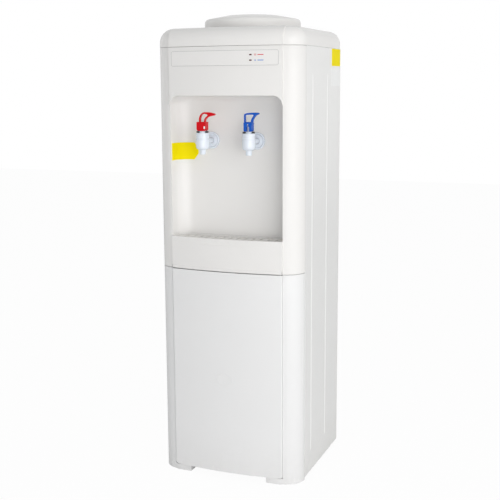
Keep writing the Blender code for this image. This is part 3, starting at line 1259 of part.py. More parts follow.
def make_tray():
    """Drip tray in the well and the slotted grille resting on its ledge."""
    edge = MOULDING + RUN
    low = TRAY_FLOOR_Z + SEAT
    high = GRILLE_Z + GRILLE_THICK
    tray = prism("drip_tray", bay_plan(edge), low, high)
    sump = prism("sump", bay_plan(edge + TRAY_WALL + TRAY_LEDGE), low + TRAY_WALL,
                 high + OVERRUN)
    rebate = prism("rebate", bay_plan(edge + TRAY_WALL), GRILLE_Z - SEAT, high + OVERRUN)
    paint(cut(tray, sump, rebate), COOL_WHITE, 0.35)
    grille = prism("drip_grille", bay_plan(edge + TRAY_WALL + RUN), GRILLE_Z, high)
    half = BAND_HALF - edge - TRAY_WALL - TRAY_LEDGE - BAY_FILLET / 2
    pitch = 2 * half / (GRILLE_SLOTS - 1)
    slots = []
    for k in range(GRILLE_SLOTS):
        x = -half + pitch * k
        near = band_y(x) + edge + TRAY_WALL + TRAY_LEDGE + SLOT_WIDTH
        far = BAY_BACK - edge - TRAY_WALL - TRAY_LEDGE - SLOT_WIDTH
        middle = (near + far) / 2
        for start, end in ((near, middle - SLOT_WIDTH / 3), (middle + SLOT_WIDTH / 3, far)):
            slots.append(block("slot", (x - SLOT_WIDTH / 2, start, GRILLE_Z - OVERRUN),
                               (x + SLOT_WIDTH / 2, end, high + OVERRUN)))
    paint(cut(grille, *slots), PALE, 0.35)


# Tap details
CHAMBER_RADIUS = 9.5 * MM
CHAMBER_DEPTH = 28.9 * MM
CHAMBER_FLOOR = TAP_TOP - CHAMBER_DEPTH
OUTLET_RADIUS = 3.8 * MM
STEM_RADIUS = 2.4 * MM
CAP_THICK = 1.0 * MM
RING_THICK = 0.8 * MM
RING_RADIUS = 8.6 * MM
SEAL_THICK = 5 * MM
LEVER_LOW = TAP_TOP + CAP_THICK + RING_THICK + 3 * SEAT
LEVER_HEIGHT = 36.7 * MM
PIN_RISE = 13 * MM
LEVER_PIN_RADIUS = 1.2 * MM
HOT_LEVER_DEPTH = 10 * MM
COLD_LEVER_DEPTH = 12 * MM
LEVER_DEPTH = {"hot": HOT_LEVER_DEPTH, "cold": COLD_LEVER_DEPTH}
SLEEVE_HALF_WIDTH = 10 * MM
SLEEVE_HALF_DEPTH = 7 * MM
SLEEVE_HEIGHT = 17.7 * MM

# Lever outlines as shares of a 37th of the lever's height, from its foot
LOOP_SHARES = {
    "hot": ((-6.8, 0), (6.8, 0), (7.8, 1), (7.8, 16), (7.6, 17.5), (7.8, 21.8), (10.5, 25.2),
            (14.5, 27.8), (19, 29.2), (25.5, 30.4), (28, 31.6), (28.6, 32.9), (27.6, 34.2),
            (25, 35), (18, 36.6), (10, 37), (4, 36.7), (-1, 34), (-4.5, 29.5), (-6, 24),
            (-6.3, 17.2), (-7.8, 16), (-7.8, 1)),
    "cold": ((-7.2, 0), (7.2, 0), (8.7, 1.5), (8.7, 13), (9.2, 18), (10.3, 23), (12.8, 27.5),
             (16.5, 31.2), (20.5, 33), (22.3, 34.7), (20.5, 36.4), (14, 37), (3, 36.4),
             (-5.5, 35), (-7.8, 33.8), (-8.7, 31), (-8.7, 1.5)),
}
WINDOW_SHARES = {
    "hot": ((-2.4, 18), (3.6, 18), (4.6, 22.5), (8, 27.2), (12.5, 31), (9, 33), (4, 33.2),
            (0.5, 31), (-1.6, 27), (-2.4, 23)),
    "cold": ((-4.8, 18.5), (5.2, 18.5), (6.2, 23), (8.4, 27.5), (10.6, 31.4), (9.6, 32.2),
             (-3.8, 31.4), (-4.8, 30.2)),
}


def make_tap(kind, x, y):
    """One push tap: body, wall flange, nut, cap, thrust ring, stem, seal, pin and lever."""
    axis = (x, y, 0)
    bottom = TAP_TOP - TAP_BODY_HEIGHT
    spout = bottom - NOZZLE_LENGTH
    shoulder = TAP_RADIUS * 0.5
    body = turned(f"{kind}_tap_body", [
        (OUTLET_RADIUS, spout), (NOZZLE_RADIUS, spout), (NOZZLE_RADIUS, bottom),
        (TAP_RADIUS - shoulder, bottom), (TAP_RADIUS - shoulder * 0.3, bottom + shoulder * 0.5),
        (TAP_RADIUS, bottom + shoulder), (TAP_RADIUS, TAP_TOP), (CHAMBER_RADIUS, TAP_TOP),
        (CHAMBER_RADIUS, CHAMBER_FLOOR), (OUTLET_RADIUS, CHAMBER_FLOOR)], axis, 20)
    start = (CHAMBER_RADIUS + TAP_RADIUS) / 2 - TUB_WALL / 4
    reach = TUB_BACK + INLET_TAIL - y
    inlet = rod("inlet", (x, y, INLET_Z), INLET_RADIUS, start, reach, 16, "Y")
    bore = rod("bore", (x, y, INLET_Z), INLET_RADIUS - TUB_WALL, CHAMBER_RADIUS / 2,
               reach + OVERRUN, 12, "Y")
    ring = INLET_RADIUS + SEAT
    outer = TAP_RADIUS * 1.3
    thick = 5 * MM
    rim = 1.2 * MM
    flange = turned(f"{kind}_tap_flange", [
        (ring, -SEAT), (outer, -SEAT), (outer, -thick + rim), (outer - rim, -thick),
        (outer - 3 * rim, -thick), (outer - 4 * rim, -thick / 2), (ring, -thick / 2)],
        (x, BAY_BACK, INLET_Z), 20, "Y")
    paint(flange, TAP_WHITE, 0.2)
    nut = rod("nut", (x, TUB_BACK, INLET_Z), INLET_RADIUS * 1.7, SEAT, SEAT + thick, 6, "Y")
    paint(cut(join(body, inlet, nut), bore), TAP_WHITE, 0.2)

    pass_radius = STEM_RADIUS + RUN
    plug = CHAMBER_RADIUS - SEAT
    cap_low = TAP_TOP - 7 * CAP_THICK
    cap = turned(f"{kind}_tap_cap", [
        (pass_radius, cap_low), (plug, cap_low), (plug, TAP_TOP + SEAT),
        (plug + CAP_THICK, TAP_TOP + SEAT), (plug + CAP_THICK, TAP_TOP + SEAT + CAP_THICK),
        (pass_radius, TAP_TOP + SEAT + CAP_THICK)], axis, 18)
    paint(cap, TAP_WHITE, 0.2)
    ring_low = TAP_TOP + CAP_THICK + 2 * SEAT
    thrust = turned(f"{kind}_thrust_ring", [
        (pass_radius, ring_low), (RING_RADIUS, ring_low), (RING_RADIUS, ring_low + RING_THICK),
        (pass_radius, ring_low + RING_THICK)], axis, 16)
    paint(thrust, TAP_WHITE, 0.3)

    seal_low = CHAMBER_FLOOR + SEAT
    pin_z = LEVER_LOW + PIN_RISE
    stem = turned(f"{kind}_stem", [
        (0, seal_low), (CHAMBER_RADIUS * 0.66, seal_low),
        (CHAMBER_RADIUS * 0.6, seal_low + SEAL_THICK * 0.7),
        (STEM_RADIUS, seal_low + SEAL_THICK),
        (STEM_RADIUS, pin_z + STEM_RADIUS / 2), (STEM_RADIUS / 2, pin_z + STEM_RADIUS),
        (0, pin_z + STEM_RADIUS)], axis, 16)
    eye = rod("eye", (x, y, pin_z), LEVER_PIN_RADIUS + SEAT, -OVERRUN, OVERRUN, 12, "Y")
    paint(cut(stem, eye), TAP_WHITE, 0.3)
    half = LEVER_DEPTH[kind] / 2
    pin = rod(f"{kind}_lever_pin", (0, 0, 0), LEVER_PIN_RADIUS, -half + SEAT, half - SEAT, 12,
              "Y")
    pin.location = (x, y, pin_z)
    paint(pin, STEEL, 0.25, 1)
    make_lever(kind, x, y, pin_z, half)


def make_lever(kind, x, y, pin_z, half):
    """Loop lever whose foot is the cam; its beak points to the right. Built on its pin."""
    grid = LEVER_HEIGHT / 37
    outline = [(a * grid, b * grid - PIN_RISE) for a, b in LOOP_SHARES[kind]]
    window = [(a * grid, b * grid - PIN_RISE) for a, b in WINDOW_SHARES[kind]]
    lever = prism(f"{kind}_lever", outline, -half, half, "Y")
    deep = PIN_RISE + OVERRUN
    swing = PIN_RISE * math.tan(PRESS_ANGLE) + STEM_RADIUS / math.cos(PRESS_ANGLE) + SEAT
    room = STEM_RADIUS + 2 * SEAT
    far = swing if kind == "cold" else SLEEVE_HALF_WIDTH
    pocket = block("pocket", (-room - SEAT, -room, -deep), (far, room, STEM_RADIUS + 2 * SEAT))
    tools = [prism("window", window, -half - OVERRUN, half + OVERRUN, "Y"), pocket,
             rod("pin_hole", (0, 0, 0), LEVER_PIN_RADIUS + SEAT, -half - OVERRUN,
                 half + OVERRUN, 12, "Y")]
    if kind == "cold":
        arch = [(-room, -deep), (room, -deep)] + arc(0, -2 * room, room, 0, 180, 5)
        tools.append(prism("arch", arch, -half - OVERRUN, half + OVERRUN, "Y"))
    cut(lever, *tools)
    lever.location = (x, y, pin_z)
    paint(lever, RED if kind == "hot" else BLUE, 0.2)
    if kind == "cold":
        return
    round_low = SLEEVE_HEIGHT * 0.22
    wide = SLEEVE_HALF_WIDTH
    low = -PIN_RISE
    outline = arc(-wide + round_low, low + round_low, round_low, 180, 270, 4)
    outline += arc(wide - round_low, low + round_low, round_low, 270, 360, 4)
    outline += [(wide, low + SLEEVE_HEIGHT), (-wide, low + SLEEVE_HEIGHT)]
    sleeve = prism("hot_lock_sleeve", outline, -SLEEVE_HALF_DEPTH, SLEEVE_HALF_DEPTH, "Y")
    block_half = max(a for a, _ in LOOP_SHARES[kind][:4]) * grid + RUN
    hollow = block("hollow", (-block_half, -half - RUN, low - OVERRUN),
                   (block_half, half + RUN, low + SLEEVE_HEIGHT + OVERRUN))
    cut(sleeve, hollow)
    sleeve.location = (x, y, pin_z)
    paint(sleeve, RED, 0.2)


def main():
    clear_scene()
    make_base()
    make_side_panel(-1, "left_side_panel")
    make_side_panel(1, "right_side_panel")
    make_back_panel()
    make_top_cover()
    make_upper_front()
    make_indicator()
    make_lower_frame()
    make_door()
    make_catch()
    make_cabinet_liner()
    make_shelves()
    make_bottle_seat()
    make_cold_tank()
    make_hot_tank()
    make_hoses()
    make_drain_and_inlet()
    make_compressor()
    make_condenser()
    make_switches()
    make_tray()
    for kind, x, y in tap_places():
        make_tap(kind, x, y)


main()
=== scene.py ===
"""Looks of a floor-standing hot and cold water cooler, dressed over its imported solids.

Metres, +Z up, the front faces -Y. New pieces are surfaces worked out with numpy on
grids of two parameters; every piece and every carried-over solid has a node material.
"""

import json
import math

import bmesh
import bpy
import numpy as np
from mathutils import Matrix, Vector


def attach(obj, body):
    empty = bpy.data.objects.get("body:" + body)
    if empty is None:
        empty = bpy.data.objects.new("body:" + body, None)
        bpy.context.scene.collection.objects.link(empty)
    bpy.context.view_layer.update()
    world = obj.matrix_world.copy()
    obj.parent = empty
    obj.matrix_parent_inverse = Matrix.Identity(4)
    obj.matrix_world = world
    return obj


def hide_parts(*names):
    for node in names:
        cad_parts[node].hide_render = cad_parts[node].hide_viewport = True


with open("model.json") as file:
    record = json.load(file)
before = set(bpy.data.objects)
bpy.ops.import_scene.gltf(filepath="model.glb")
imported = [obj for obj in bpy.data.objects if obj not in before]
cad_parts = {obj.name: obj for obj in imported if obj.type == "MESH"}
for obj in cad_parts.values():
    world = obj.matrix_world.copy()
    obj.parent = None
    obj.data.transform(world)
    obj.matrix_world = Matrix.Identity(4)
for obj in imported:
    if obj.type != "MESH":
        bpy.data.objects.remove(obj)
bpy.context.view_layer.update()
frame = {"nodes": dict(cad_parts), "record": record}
nodes = frame["nodes"]
MM = 0.001
DOUBLED, SLIVER = 2e-6, 1e-6
DUST_COLOUR, DUST_HEIGHT = (0.42, 0.38, 0.33, 1), 0.10


# Node helpers
def new_group(name, inputs, outputs):
    """An empty shader node group; a socket named Colour is a colour, the others numbers."""
    group = bpy.data.node_groups.new(name, "ShaderNodeTree")
    for way, labels in (("INPUT", inputs), ("OUTPUT", outputs)):
        for label in labels:
            kind = "NodeSocketColor" if label == "Colour" else "NodeSocketFloat"
            group.interface.new_socket(label, in_out=way, socket_type=kind)
    return (group, group.nodes.new("NodeGroupInput").outputs,
            group.nodes.new("NodeGroupOutput").inputs)


def fill(tree, node, inputs):
    """Each of a node's listed inputs is linked from a socket or set to a constant."""
    for slot, source in inputs:
        if hasattr(source, "is_output"):
            tree.links.new(source, node.inputs[slot])
        else:
            node.inputs[slot].default_value = source


def add(tree, kind, inputs=(), **settings):
    """A new node with its settings made and its inputs filled."""
    node = tree.nodes.new("ShaderNode" + kind)
    for key, value in settings.items():
        setattr(node, key, value)
    fill(tree, node, inputs)
    return node


def maths(tree, operation, a, b, clamp=False):
    """One calculation on two values or sockets."""
    return add(tree, "Math", ((0, a), (1, b)), operation=operation, use_clamp=clamp).outputs[0]


def noise(tree, where, scale, detail=2.0, rough=0.5):
    """Object-space noise between 0 and 1."""
    return add(tree, "TexNoise", (("Vector", where), ("Scale", scale), ("Detail", detail),
                                  ("Roughness", rough))).outputs["Fac"]


def make_tone_group():
    """Colour that drifts a little over a surface and dulls towards the floor."""
    tree, given, out = new_group("Tone drift", ("Colour", "Drift", "Scale", "Floor dust"),
                                 ("Colour", "Dust"))
    where = add(tree, "TexCoord").outputs["Object"]
    cloud = noise(tree, where, given["Scale"], 3.0, 0.55)
    swing = maths(tree, "MULTIPLY", maths(tree, "SUBTRACT", cloud, 0.5), given["Drift"])
    bright = maths(tree, "ADD", swing, 1.0)
    toned = add(tree, "HueSaturation", (("Value", bright), ("Color", given["Colour"])))
    height = add(tree, "SeparateXYZ", ((0, where),)).outputs["Z"]
    low = add(tree, "MapRange", ((0, height), (1, DUST_HEIGHT), (2, 0.0), (3, 0.0), (4, 1.0)))
    speck = noise(tree, where, 60.0, 4.0, 0.6)
    dust = maths(tree, "MULTIPLY", maths(tree, "MULTIPLY", low.outputs[0], speck),
                 given["Floor dust"], True)
    mixed = add(tree, "Mix", (("Factor", dust), (6, toned.outputs[0]), (7, DUST_COLOUR)),
                data_type="RGBA")
    tree.links.new(mixed.outputs[2], out["Colour"])
    tree.links.new(dust, out["Dust"])
    return tree


def make_skin_group():
    """Gloss that varies with handling, and the height of ripple and fine grain."""
    tree, given, out = new_group("Moulded skin", ("Gloss", "Smudge", "Ripple", "Grain",
                                                  "Grain scale"), ("Roughness", "Height"))
    where = add(tree, "TexCoord").outputs["Object"]
    haze = maths(tree, "SUBTRACT", noise(tree, where, 14.0, 4.0, 0.6), 0.5)
    rough = maths(tree, "ADD", maths(tree, "MULTIPLY", haze, given["Smudge"]),
                  given["Gloss"], True)
    wave = maths(tree, "MULTIPLY", noise(tree, where, 22.0, 1.0), given["Ripple"])
    fine = maths(tree, "MULTIPLY", noise(tree, where, given["Grain scale"]), given["Grain"])
    tree.links.new(rough, out["Roughness"])
    tree.links.new(maths(tree, "ADD", wave, fine), out["Height"])
    return tree


TONE = make_tone_group()
SKIN = make_skin_group()


def look(name, colour, gloss, smudge=0.05, drift=0.03, ripple=0.3, grain=0.3,
         grain_scale=900.0, bump=0.0002, dust=0.0, metallic=0.0, coat=0.0, scale=6.0,
         spec=0.5, subsurface=0.0):
    """A finish from the two shared groups; constants are set on the shader's sockets."""
    material = bpy.data.materials.new(name)
    material.use_nodes = True
    tree = material.node_tree
    tone = add(tree, "Group", (("Colour", (*colour, 1)), ("Drift", drift), ("Scale", scale),
                               ("Floor dust", dust)), node_tree=TONE)
    skin = add(tree, "Group", (("Gloss", gloss), ("Smudge", smudge), ("Ripple", ripple),
                               ("Grain", grain), ("Grain scale", grain_scale)), node_tree=SKIN)
    relief = add(tree, "Bump", (("Height", skin.outputs["Height"]), ("Distance", bump),
                                ("Strength", 1.0)))
    rough = maths(tree, "ADD", maths(tree, "MULTIPLY", tone.outputs["Dust"], 0.3),
                  skin.outputs["Roughness"], True)
    fill(tree, tree.nodes["Principled BSDF"], (
        ("Base Color", tone.outputs["Colour"]), ("Roughness", rough),
        ("Normal", relief.outputs[0]), ("Metallic", metallic), ("Coat Weight", coat),
        ("Coat Roughness", 0.06), ("Specular IOR Level", spec),
        ("Subsurface Weight", subsurface), ("Subsurface Radius", (0.004, 0.003, 0.003))))
    return material


FINISHES = {
    "case_white": look("Warm white moulding", (0.80, 0.79, 0.775), 0.27, smudge=0.01, spec=0.2,
                       drift=0.02, grain=0.15),
    "lower_white": look("Cool white moulding", (0.80, 0.80, 0.80), 0.25, smudge=0.01, spec=0.4,
                        drift=0.02, dust=0.15, grain=0.15),
    "painted_sheet": look("White powder coat", (0.81, 0.81, 0.80), 0.34, ripple=0.5, spec=0.4,
                          grain=0.8, grain_scale=600.0, dust=0.2),
    "tap_white": look("Bluish white tap plastic", (0.74, 0.79, 0.86), 0.16, grain=0.1, ripple=0.1,
                      subsurface=0.08),
    "hot_red": look("Red lever plastic", (0.62, 0.0, 0.006), 0.28, drift=0.1, spec=0.22, grain=0.1,
                    ripple=0.1, scale=60.0),
    "cold_blue": look("Blue lever plastic", (0.0, 0.085, 0.48), 0.26, drift=0.1, spec=0.3,
                      grain=0.1, ripple=0.1, scale=60.0),
    "sheet_steel": look("Galvanised sheet", (0.60, 0.61, 0.62), 0.42, drift=0.25, scale=45.0,
                        smudge=0.2, metallic=0.85),
    "stainless": look("Brushed stainless steel", (0.62, 0.62, 0.63), 0.25, metallic=1.0,
                      drift=0.08, grain_scale=1500.0),
    "dark_plastic": look("Black textured plastic", (0.03, 0.03, 0.033), 0.45, grain=1.0,
                         grain_scale=1400.0, drift=0.2),
    "black_paint": look("Satin black paint", (0.025, 0.025, 0.028), 0.33, grain=0.6,
                        grain_scale=700.0, drift=0.3, dust=0.3),
    "lamp_dark": look("Smoked lamp lens", (0.10, 0.02, 0.02), 0.12),
    "rubber": look("Black rubber", (0.03, 0.03, 0.03), 0.6, grain=0.8, drift=0.2),
    "liner_white": look("Satin white liner", (0.78, 0.79, 0.79), 0.42, grain=0.5),
    "hose": look("Clear silicone hose", (0.74, 0.76, 0.76), 0.28, subsurface=0.2),
    "tray_grey": look("Pale tray plastic", (0.76, 0.745, 0.72), 0.3, grain=0.6),
    "copper": look("Bright copper tube", (0.75, 0.38, 0.24), 0.26, metallic=1.0, drift=0.25,
                   scale=30.0),
    "foam": look("Moulded foam", (0.82, 0.81, 0.77), 0.85, grain=2.0, grain_scale=450.0,
                 bump=0.0006),
    "strip": look("Clear-coated strip", (0.79, 0.78, 0.765), 0.12, coat=0.5, grain=0.0,
                  ripple=0.1),
    "yellow_tag": look("Yellow vinyl tag", (0.9, 0.76, 0.004), 0.5, grain=0.3, spec=0.03),
    # Painted shade: the grey line round the indicator strip stands for the shade at its edge.
    "edge_shade_grey": look("Grey painted edge shade", (0.42, 0.42, 0.42), 0.4, grain=0.2),
    "heat_ink": look("Red print", (0.62, 0.06, 0.08), 0.35, grain=0.2),
    "cool_ink": look("Blue print", (0.10, 0.24, 0.60), 0.35, grain=0.2),
    # White of the lock sleeve's patch, partly a painted highlight.
    "window_highlight_white": look("White mark", (0.85, 0.86, 0.87), 0.3, grain=0.2),
    "white_tag": look("White vinyl tag", (0.84, 0.85, 0.84), 0.3, grain=0.3),
}

for part in frame["record"]["subparts"]:
    node = nodes[part["node"]]
    node.data.materials.clear()
    node.data.materials.append(FINISHES[part["material_slot"]])


# Sizes of the case
HALF_WIDTH, HALF_DEPTH = 155 * MM, 145 * MM
BAND_HALF, BAND_BOW = 120 * MM, 9.5 * MM
PILASTER_RADIUS = 40 * MM
PILASTER_X, PILASTER_Y = 115 * MM, -92.5 * MM
WALL = 3 * MM
SEAM_Z, COVER_Z, COVER_TOP, COVER_ROUND = 440 * MM, 886 * MM, 923 * MM, 28 * MM
REAR_ROUND = 8 * MM
BAY_TOP, BAY_CORNER, BAY_BACK, BAY_FILLET = 791 * MM, 19 * MM, -85.5 * MM, 27 * MM
CEILING_ROUND = 15 * MM
LIP_Z, WELL_Z = 507 * MM, 476.4 * MM
SEAT_Y, SEAT_RADIUS = 21 * MM, 100 * MM
TAP_X, TAP_Y, TAP_TOP, TAP_RADIUS = 49.5 * MM, -132 * MM, 718.9 * MM, 13.4 * MM
INLET_Z = 700.6 * MM


# Surfaces
def new_object(name, data):
    """An object of that name and data, linked into the scene."""
    made = bpy.data.objects.new(name, data)
    bpy.context.scene.collection.objects.link(made)
    return made


def place_piece(name, mesh, body, slot, stands_for=(), sharp=35, bevel=0.0, finish=None):
    """Name and smooth-shade a mesh, give it its finish and let it ride on its body."""
    mesh.name = name
    mesh.shade_smooth()
    mesh.set_sharp_from_angle(angle=math.radians(sharp))
    piece = new_object(name, mesh)
    mesh.materials.append(FINISHES[finish or slot])
    if bevel:
        soft = piece.modifiers.new("soft_edges", "BEVEL")
        soft.width = bevel
        soft.segments = 3
        soft.limit_method = "ANGLE"
        soft.angle_limit = math.radians(sharp)
        soft.harden_normals = True
    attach(piece, body)
    if stands_for:
        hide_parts(*stands_for)


def grid_mesh(*grids, around=True, along=False):
    """One mesh from grids of points (rows, columns, 3).

    around closes the columns on themselves and along closes the rows; grids closed only
    around are filled at both ends. Doubled points are merged and faces turned outwards.
    """
    points, faces, start = [], [], 0
    for grid in grids:
        rows, columns = grid.shape[:2]
        index = start + np.arange(rows * columns).reshape(rows, columns)
        if around:
            index = np.hstack((index, index[:, :1]))
        if along:
            index = np.vstack((index, index[:1]))
        quads = np.stack((index[:-1, :-1], index[:-1, 1:], index[1:, 1:], index[1:, :-1]), -1)
        faces += quads.reshape(-1, 4).tolist()
        if around and not along:
            faces += [index[0, :columns].tolist()[::-1], index[-1, :columns].tolist()]
        points.append(grid.reshape(-1, 3))
        start += rows * columns
    mesh = bpy.data.meshes.new("surface")
    mesh.from_pydata(np.vstack(points).tolist(), [], faces)
    shape = bmesh.new()
    shape.from_mesh(mesh)
    bmesh.ops.remove_doubles(shape, verts=shape.verts, dist=DOUBLED)
    bmesh.ops.dissolve_degenerate(shape, edges=shape.edges, dist=SLIVER)
    bmesh.ops.recalc_face_normals(shape, faces=shape.faces)
    shape.to_mesh(mesh)
    shape.free()
    return mesh


def lifted(plan, z):
    """A plan line of (x, y) points set at one height."""
    return np.column_stack((plan, np.full(len(plan), z)))


def arc(cx, cy, radius, start, end, steps):
    """Points on a circle about (cx, cy), from one angle in degrees to another."""
    t = np.radians(np.linspace(start, end, steps + 1))
    return np.column_stack((cx + radius * np.cos(t), cy + radius * np.sin(t)))


def band_y(x):
    """Depth of the bowed band: a parabola that falls back by the bow at its creases."""
    return -HALF_DEPTH + BAND_BOW * (x / BAND_HALF) ** 2


def pilaster(inset=0.0, crease=BAND_HALF, start=0.0):
    """Plan of the right pilaster from the side panel round to the band's crease."""
    radius = PILASTER_RADIUS - inset
    swing = math.degrees(math.acos((crease - PILASTER_X) / radius))
    return arc(PILASTER_X, PILASTER_Y, radius, start, -swing, 18)


def mirrored(plan):
    """A plan line on the other side of the middle, in the order that goes on round."""
    return (plan * (-1, 1))[::-1]


def band(half, inset=0.0, steps=40):
    """The bowed band's plan line from +half to -half, set back by an inset."""
    x = np.linspace(half, -half, steps + 1)
    return np.column_stack((x, band_y(x) + inset))


def round_over(radius, steps):
    """(inset, rise) pairs of a quarter round, from its upright side to its flat top."""
    t = np.linspace(0, math.pi / 2, steps + 1)
    return np.column_stack((radius * (1 - np.cos(t)), radius * np.sin(t)))


def full_turn(steps):
    """Angles of one whole turn in equal steps."""
    return np.linspace(0, 2 * math.pi, steps, endpoint=False)


def revolved(profile, centre, axis, segments):
    """A profile of (radius, height) pairs turned about an axis through centre."""
    t = full_turn(segments)
    radius, height = np.asarray(profile, float).T
    a = radius[:, None] * np.cos(t)
    b = radius[:, None] * np.sin(t)
    h = np.repeat(height[:, None], segments, 1)
    turned = {"Z": (a, b, h), "Y": (a, h, -b)}[axis]
    return np.stack(turned, -1) + np.asarray(centre, float)


def rounded_corners(profile, radius):
    """Replace each corner of a closed profile by a short curve of about that radius."""
    p = np.asarray(profile, float)
    before, after = np.roll(p, 1, 0) - p, np.roll(p, -1, 0) - p
    lb, la = np.linalg.norm(before, axis=1), np.linalg.norm(after, axis=1)
    cut = np.minimum(radius, 0.45 * np.minimum(lb, la))[:, None]
    start, end = p + before / lb[:, None] * cut, p + after / la[:, None] * cut
    t = np.linspace(0, 1, 4)[None, :, None]
    curve = (start[:, None] * (1 - t) ** 2 + 2 * p[:, None] * t * (1 - t) + end[:, None] * t ** 2)
    return curve.reshape(-1, 2)


def turned_piece(name, profile, centre, body, slot, stands_for, axis, soft, segments):
    """A closed (radius, height) profile with its corners eased, turned about an axis."""
    ring = revolved(rounded_corners(profile, soft), centre, axis, segments)
    place_piece(name, grid_mesh(ring, along=True), body, slot, stands_for, 40)


def make_top_cover():
    """Plan line of the case carried up a quarter round, in to the hole, and back inside."""
    def level(inset, z, wall):
        """One closed plan ring of the case, set in, for the outside or within the wall."""
        crease = BAND_HALF - wall
        corner = REAR_ROUND - wall
        drop = max(0.0, z - (COVER_TOP - REAR_ROUND))
        side = HALF_WIDTH - inset
        rear = HALF_DEPTH - REAR_ROUND + math.sqrt(max(corner ** 2 - drop ** 2, 0))
        right = pilaster(inset, crease)
        flank = np.linspace(PILASTER_Y, rear - corner, 26)[1:-1]
        plan = np.vstack((right, band(crease, inset), mirrored(right),
                          [(-side, y) for y in flank],
                          arc(-side + corner, rear - corner, corner, 180, 90, 18),
                          band(corner - side, 0, 24) * (1, 0) + (0, rear),
                          arc(side - corner, rear - corner, corner, 90, 0, 18),
                          [(side, y) for y in flank[::-1]]))
        return lifted(plan, z)

    def hole_like(ring, radius, z):
        """The circle's points in the same directions as a plan ring's points."""
        away = ring[:, :2] - (0, SEAT_Y)
        away /= np.linalg.norm(away, axis=1)[:, None]
        return lifted(away * radius + (0, SEAT_Y), z)

    centre = COVER_TOP - COVER_ROUND
    rows = [level(0.6 * MM, COVER_Z, 0), level(0, COVER_Z + 0.6 * MM, 0)]
    rows += [level(i, centre + r, 0) for i, r in round_over(COVER_ROUND, 24)]
    hole = SEAT_RADIUS - 12 * MM
    rows += [hole_like(rows[-1], hole, COVER_TOP), hole_like(rows[-1], hole, COVER_TOP - WALL)]
    inner = [level(WALL, COVER_Z, WALL)]
    inner += [level(WALL + i, centre + r, WALL) for i, r in round_over(COVER_ROUND - WALL, 6)]
    mesh = grid_mesh(np.stack(rows + inner[::-1]), along=True)
    place_piece("top_cover_skin", mesh, "root", "case_white", ("top_cover",), 30)


def bay_shares():
    """Shares of the bay's plan line from wall to wall, closest together in its fillets."""
    side = BAY_BACK - BAY_FILLET - band_y(BAND_HALF)
    bend = BAY_FILLET * math.pi / 2
    middle = 2 * (BAND_HALF - BAY_FILLET)
    ends = np.cumsum((0, side, bend, middle, bend, side))
    parts = [np.linspace(a, b, n, endpoint=False)
             for a, b, n in zip(ends, ends[1:], (6, 18, 32, 18, 6))]
    return np.append(np.concatenate(parts), ends[-1]) / ends[-1]


SHARES = bay_shares()


def points_along(line, at, of_whole=False):
    """Points at distances along a plan line, or at shares of its whole length."""
    run = np.concatenate(([0], np.cumsum(np.linalg.norm(np.diff(line, axis=0), axis=1))))
    at = at * run[-1] if of_whole else at
    return np.column_stack([np.interp(at, run, line[:, k]) for k in (0, 1)])


def bay_line(half, front, back, fillet):
    """Side wall, back fillet, back wall, back fillet and side wall, at the shares."""
    corner = arc(half - fillet, back - fillet, fillet, 0, 90, 14)
    line = np.vstack(([(half, front)], corner, mirrored(corner), [(-half, front)]))
    return points_along(line, SHARES, of_whole=True)


def face_line(half, inset=0.0):
    """The bowed band's line at the same shares, so that face and bay are one grid."""
    x = half * (1 - 2 * SHARES)
    return np.column_stack((x, band_y(x) + inset))


def front_row(z, half, line, inset=0.0, outer_z=None, walled=False):
    """One closed run across the front: pilaster, margin, middle line and their mirror.

    Beside the open bay the margin is nothing: it stays in the bay wall's first point.
    """
    pillar = pilaster(inset)
    x = np.linspace(BAND_HALF, half, 7)
    margin = np.column_stack((x, band_y(x) + inset))
    if walled:
        margin[:] = line[0]
    high = z if outer_z is None else outer_z
    return np.vstack((lifted(pillar, high), lifted(margin, high), lifted(line, z),
                      lifted(mirrored(margin), high), lifted(mirrored(pillar), high)))


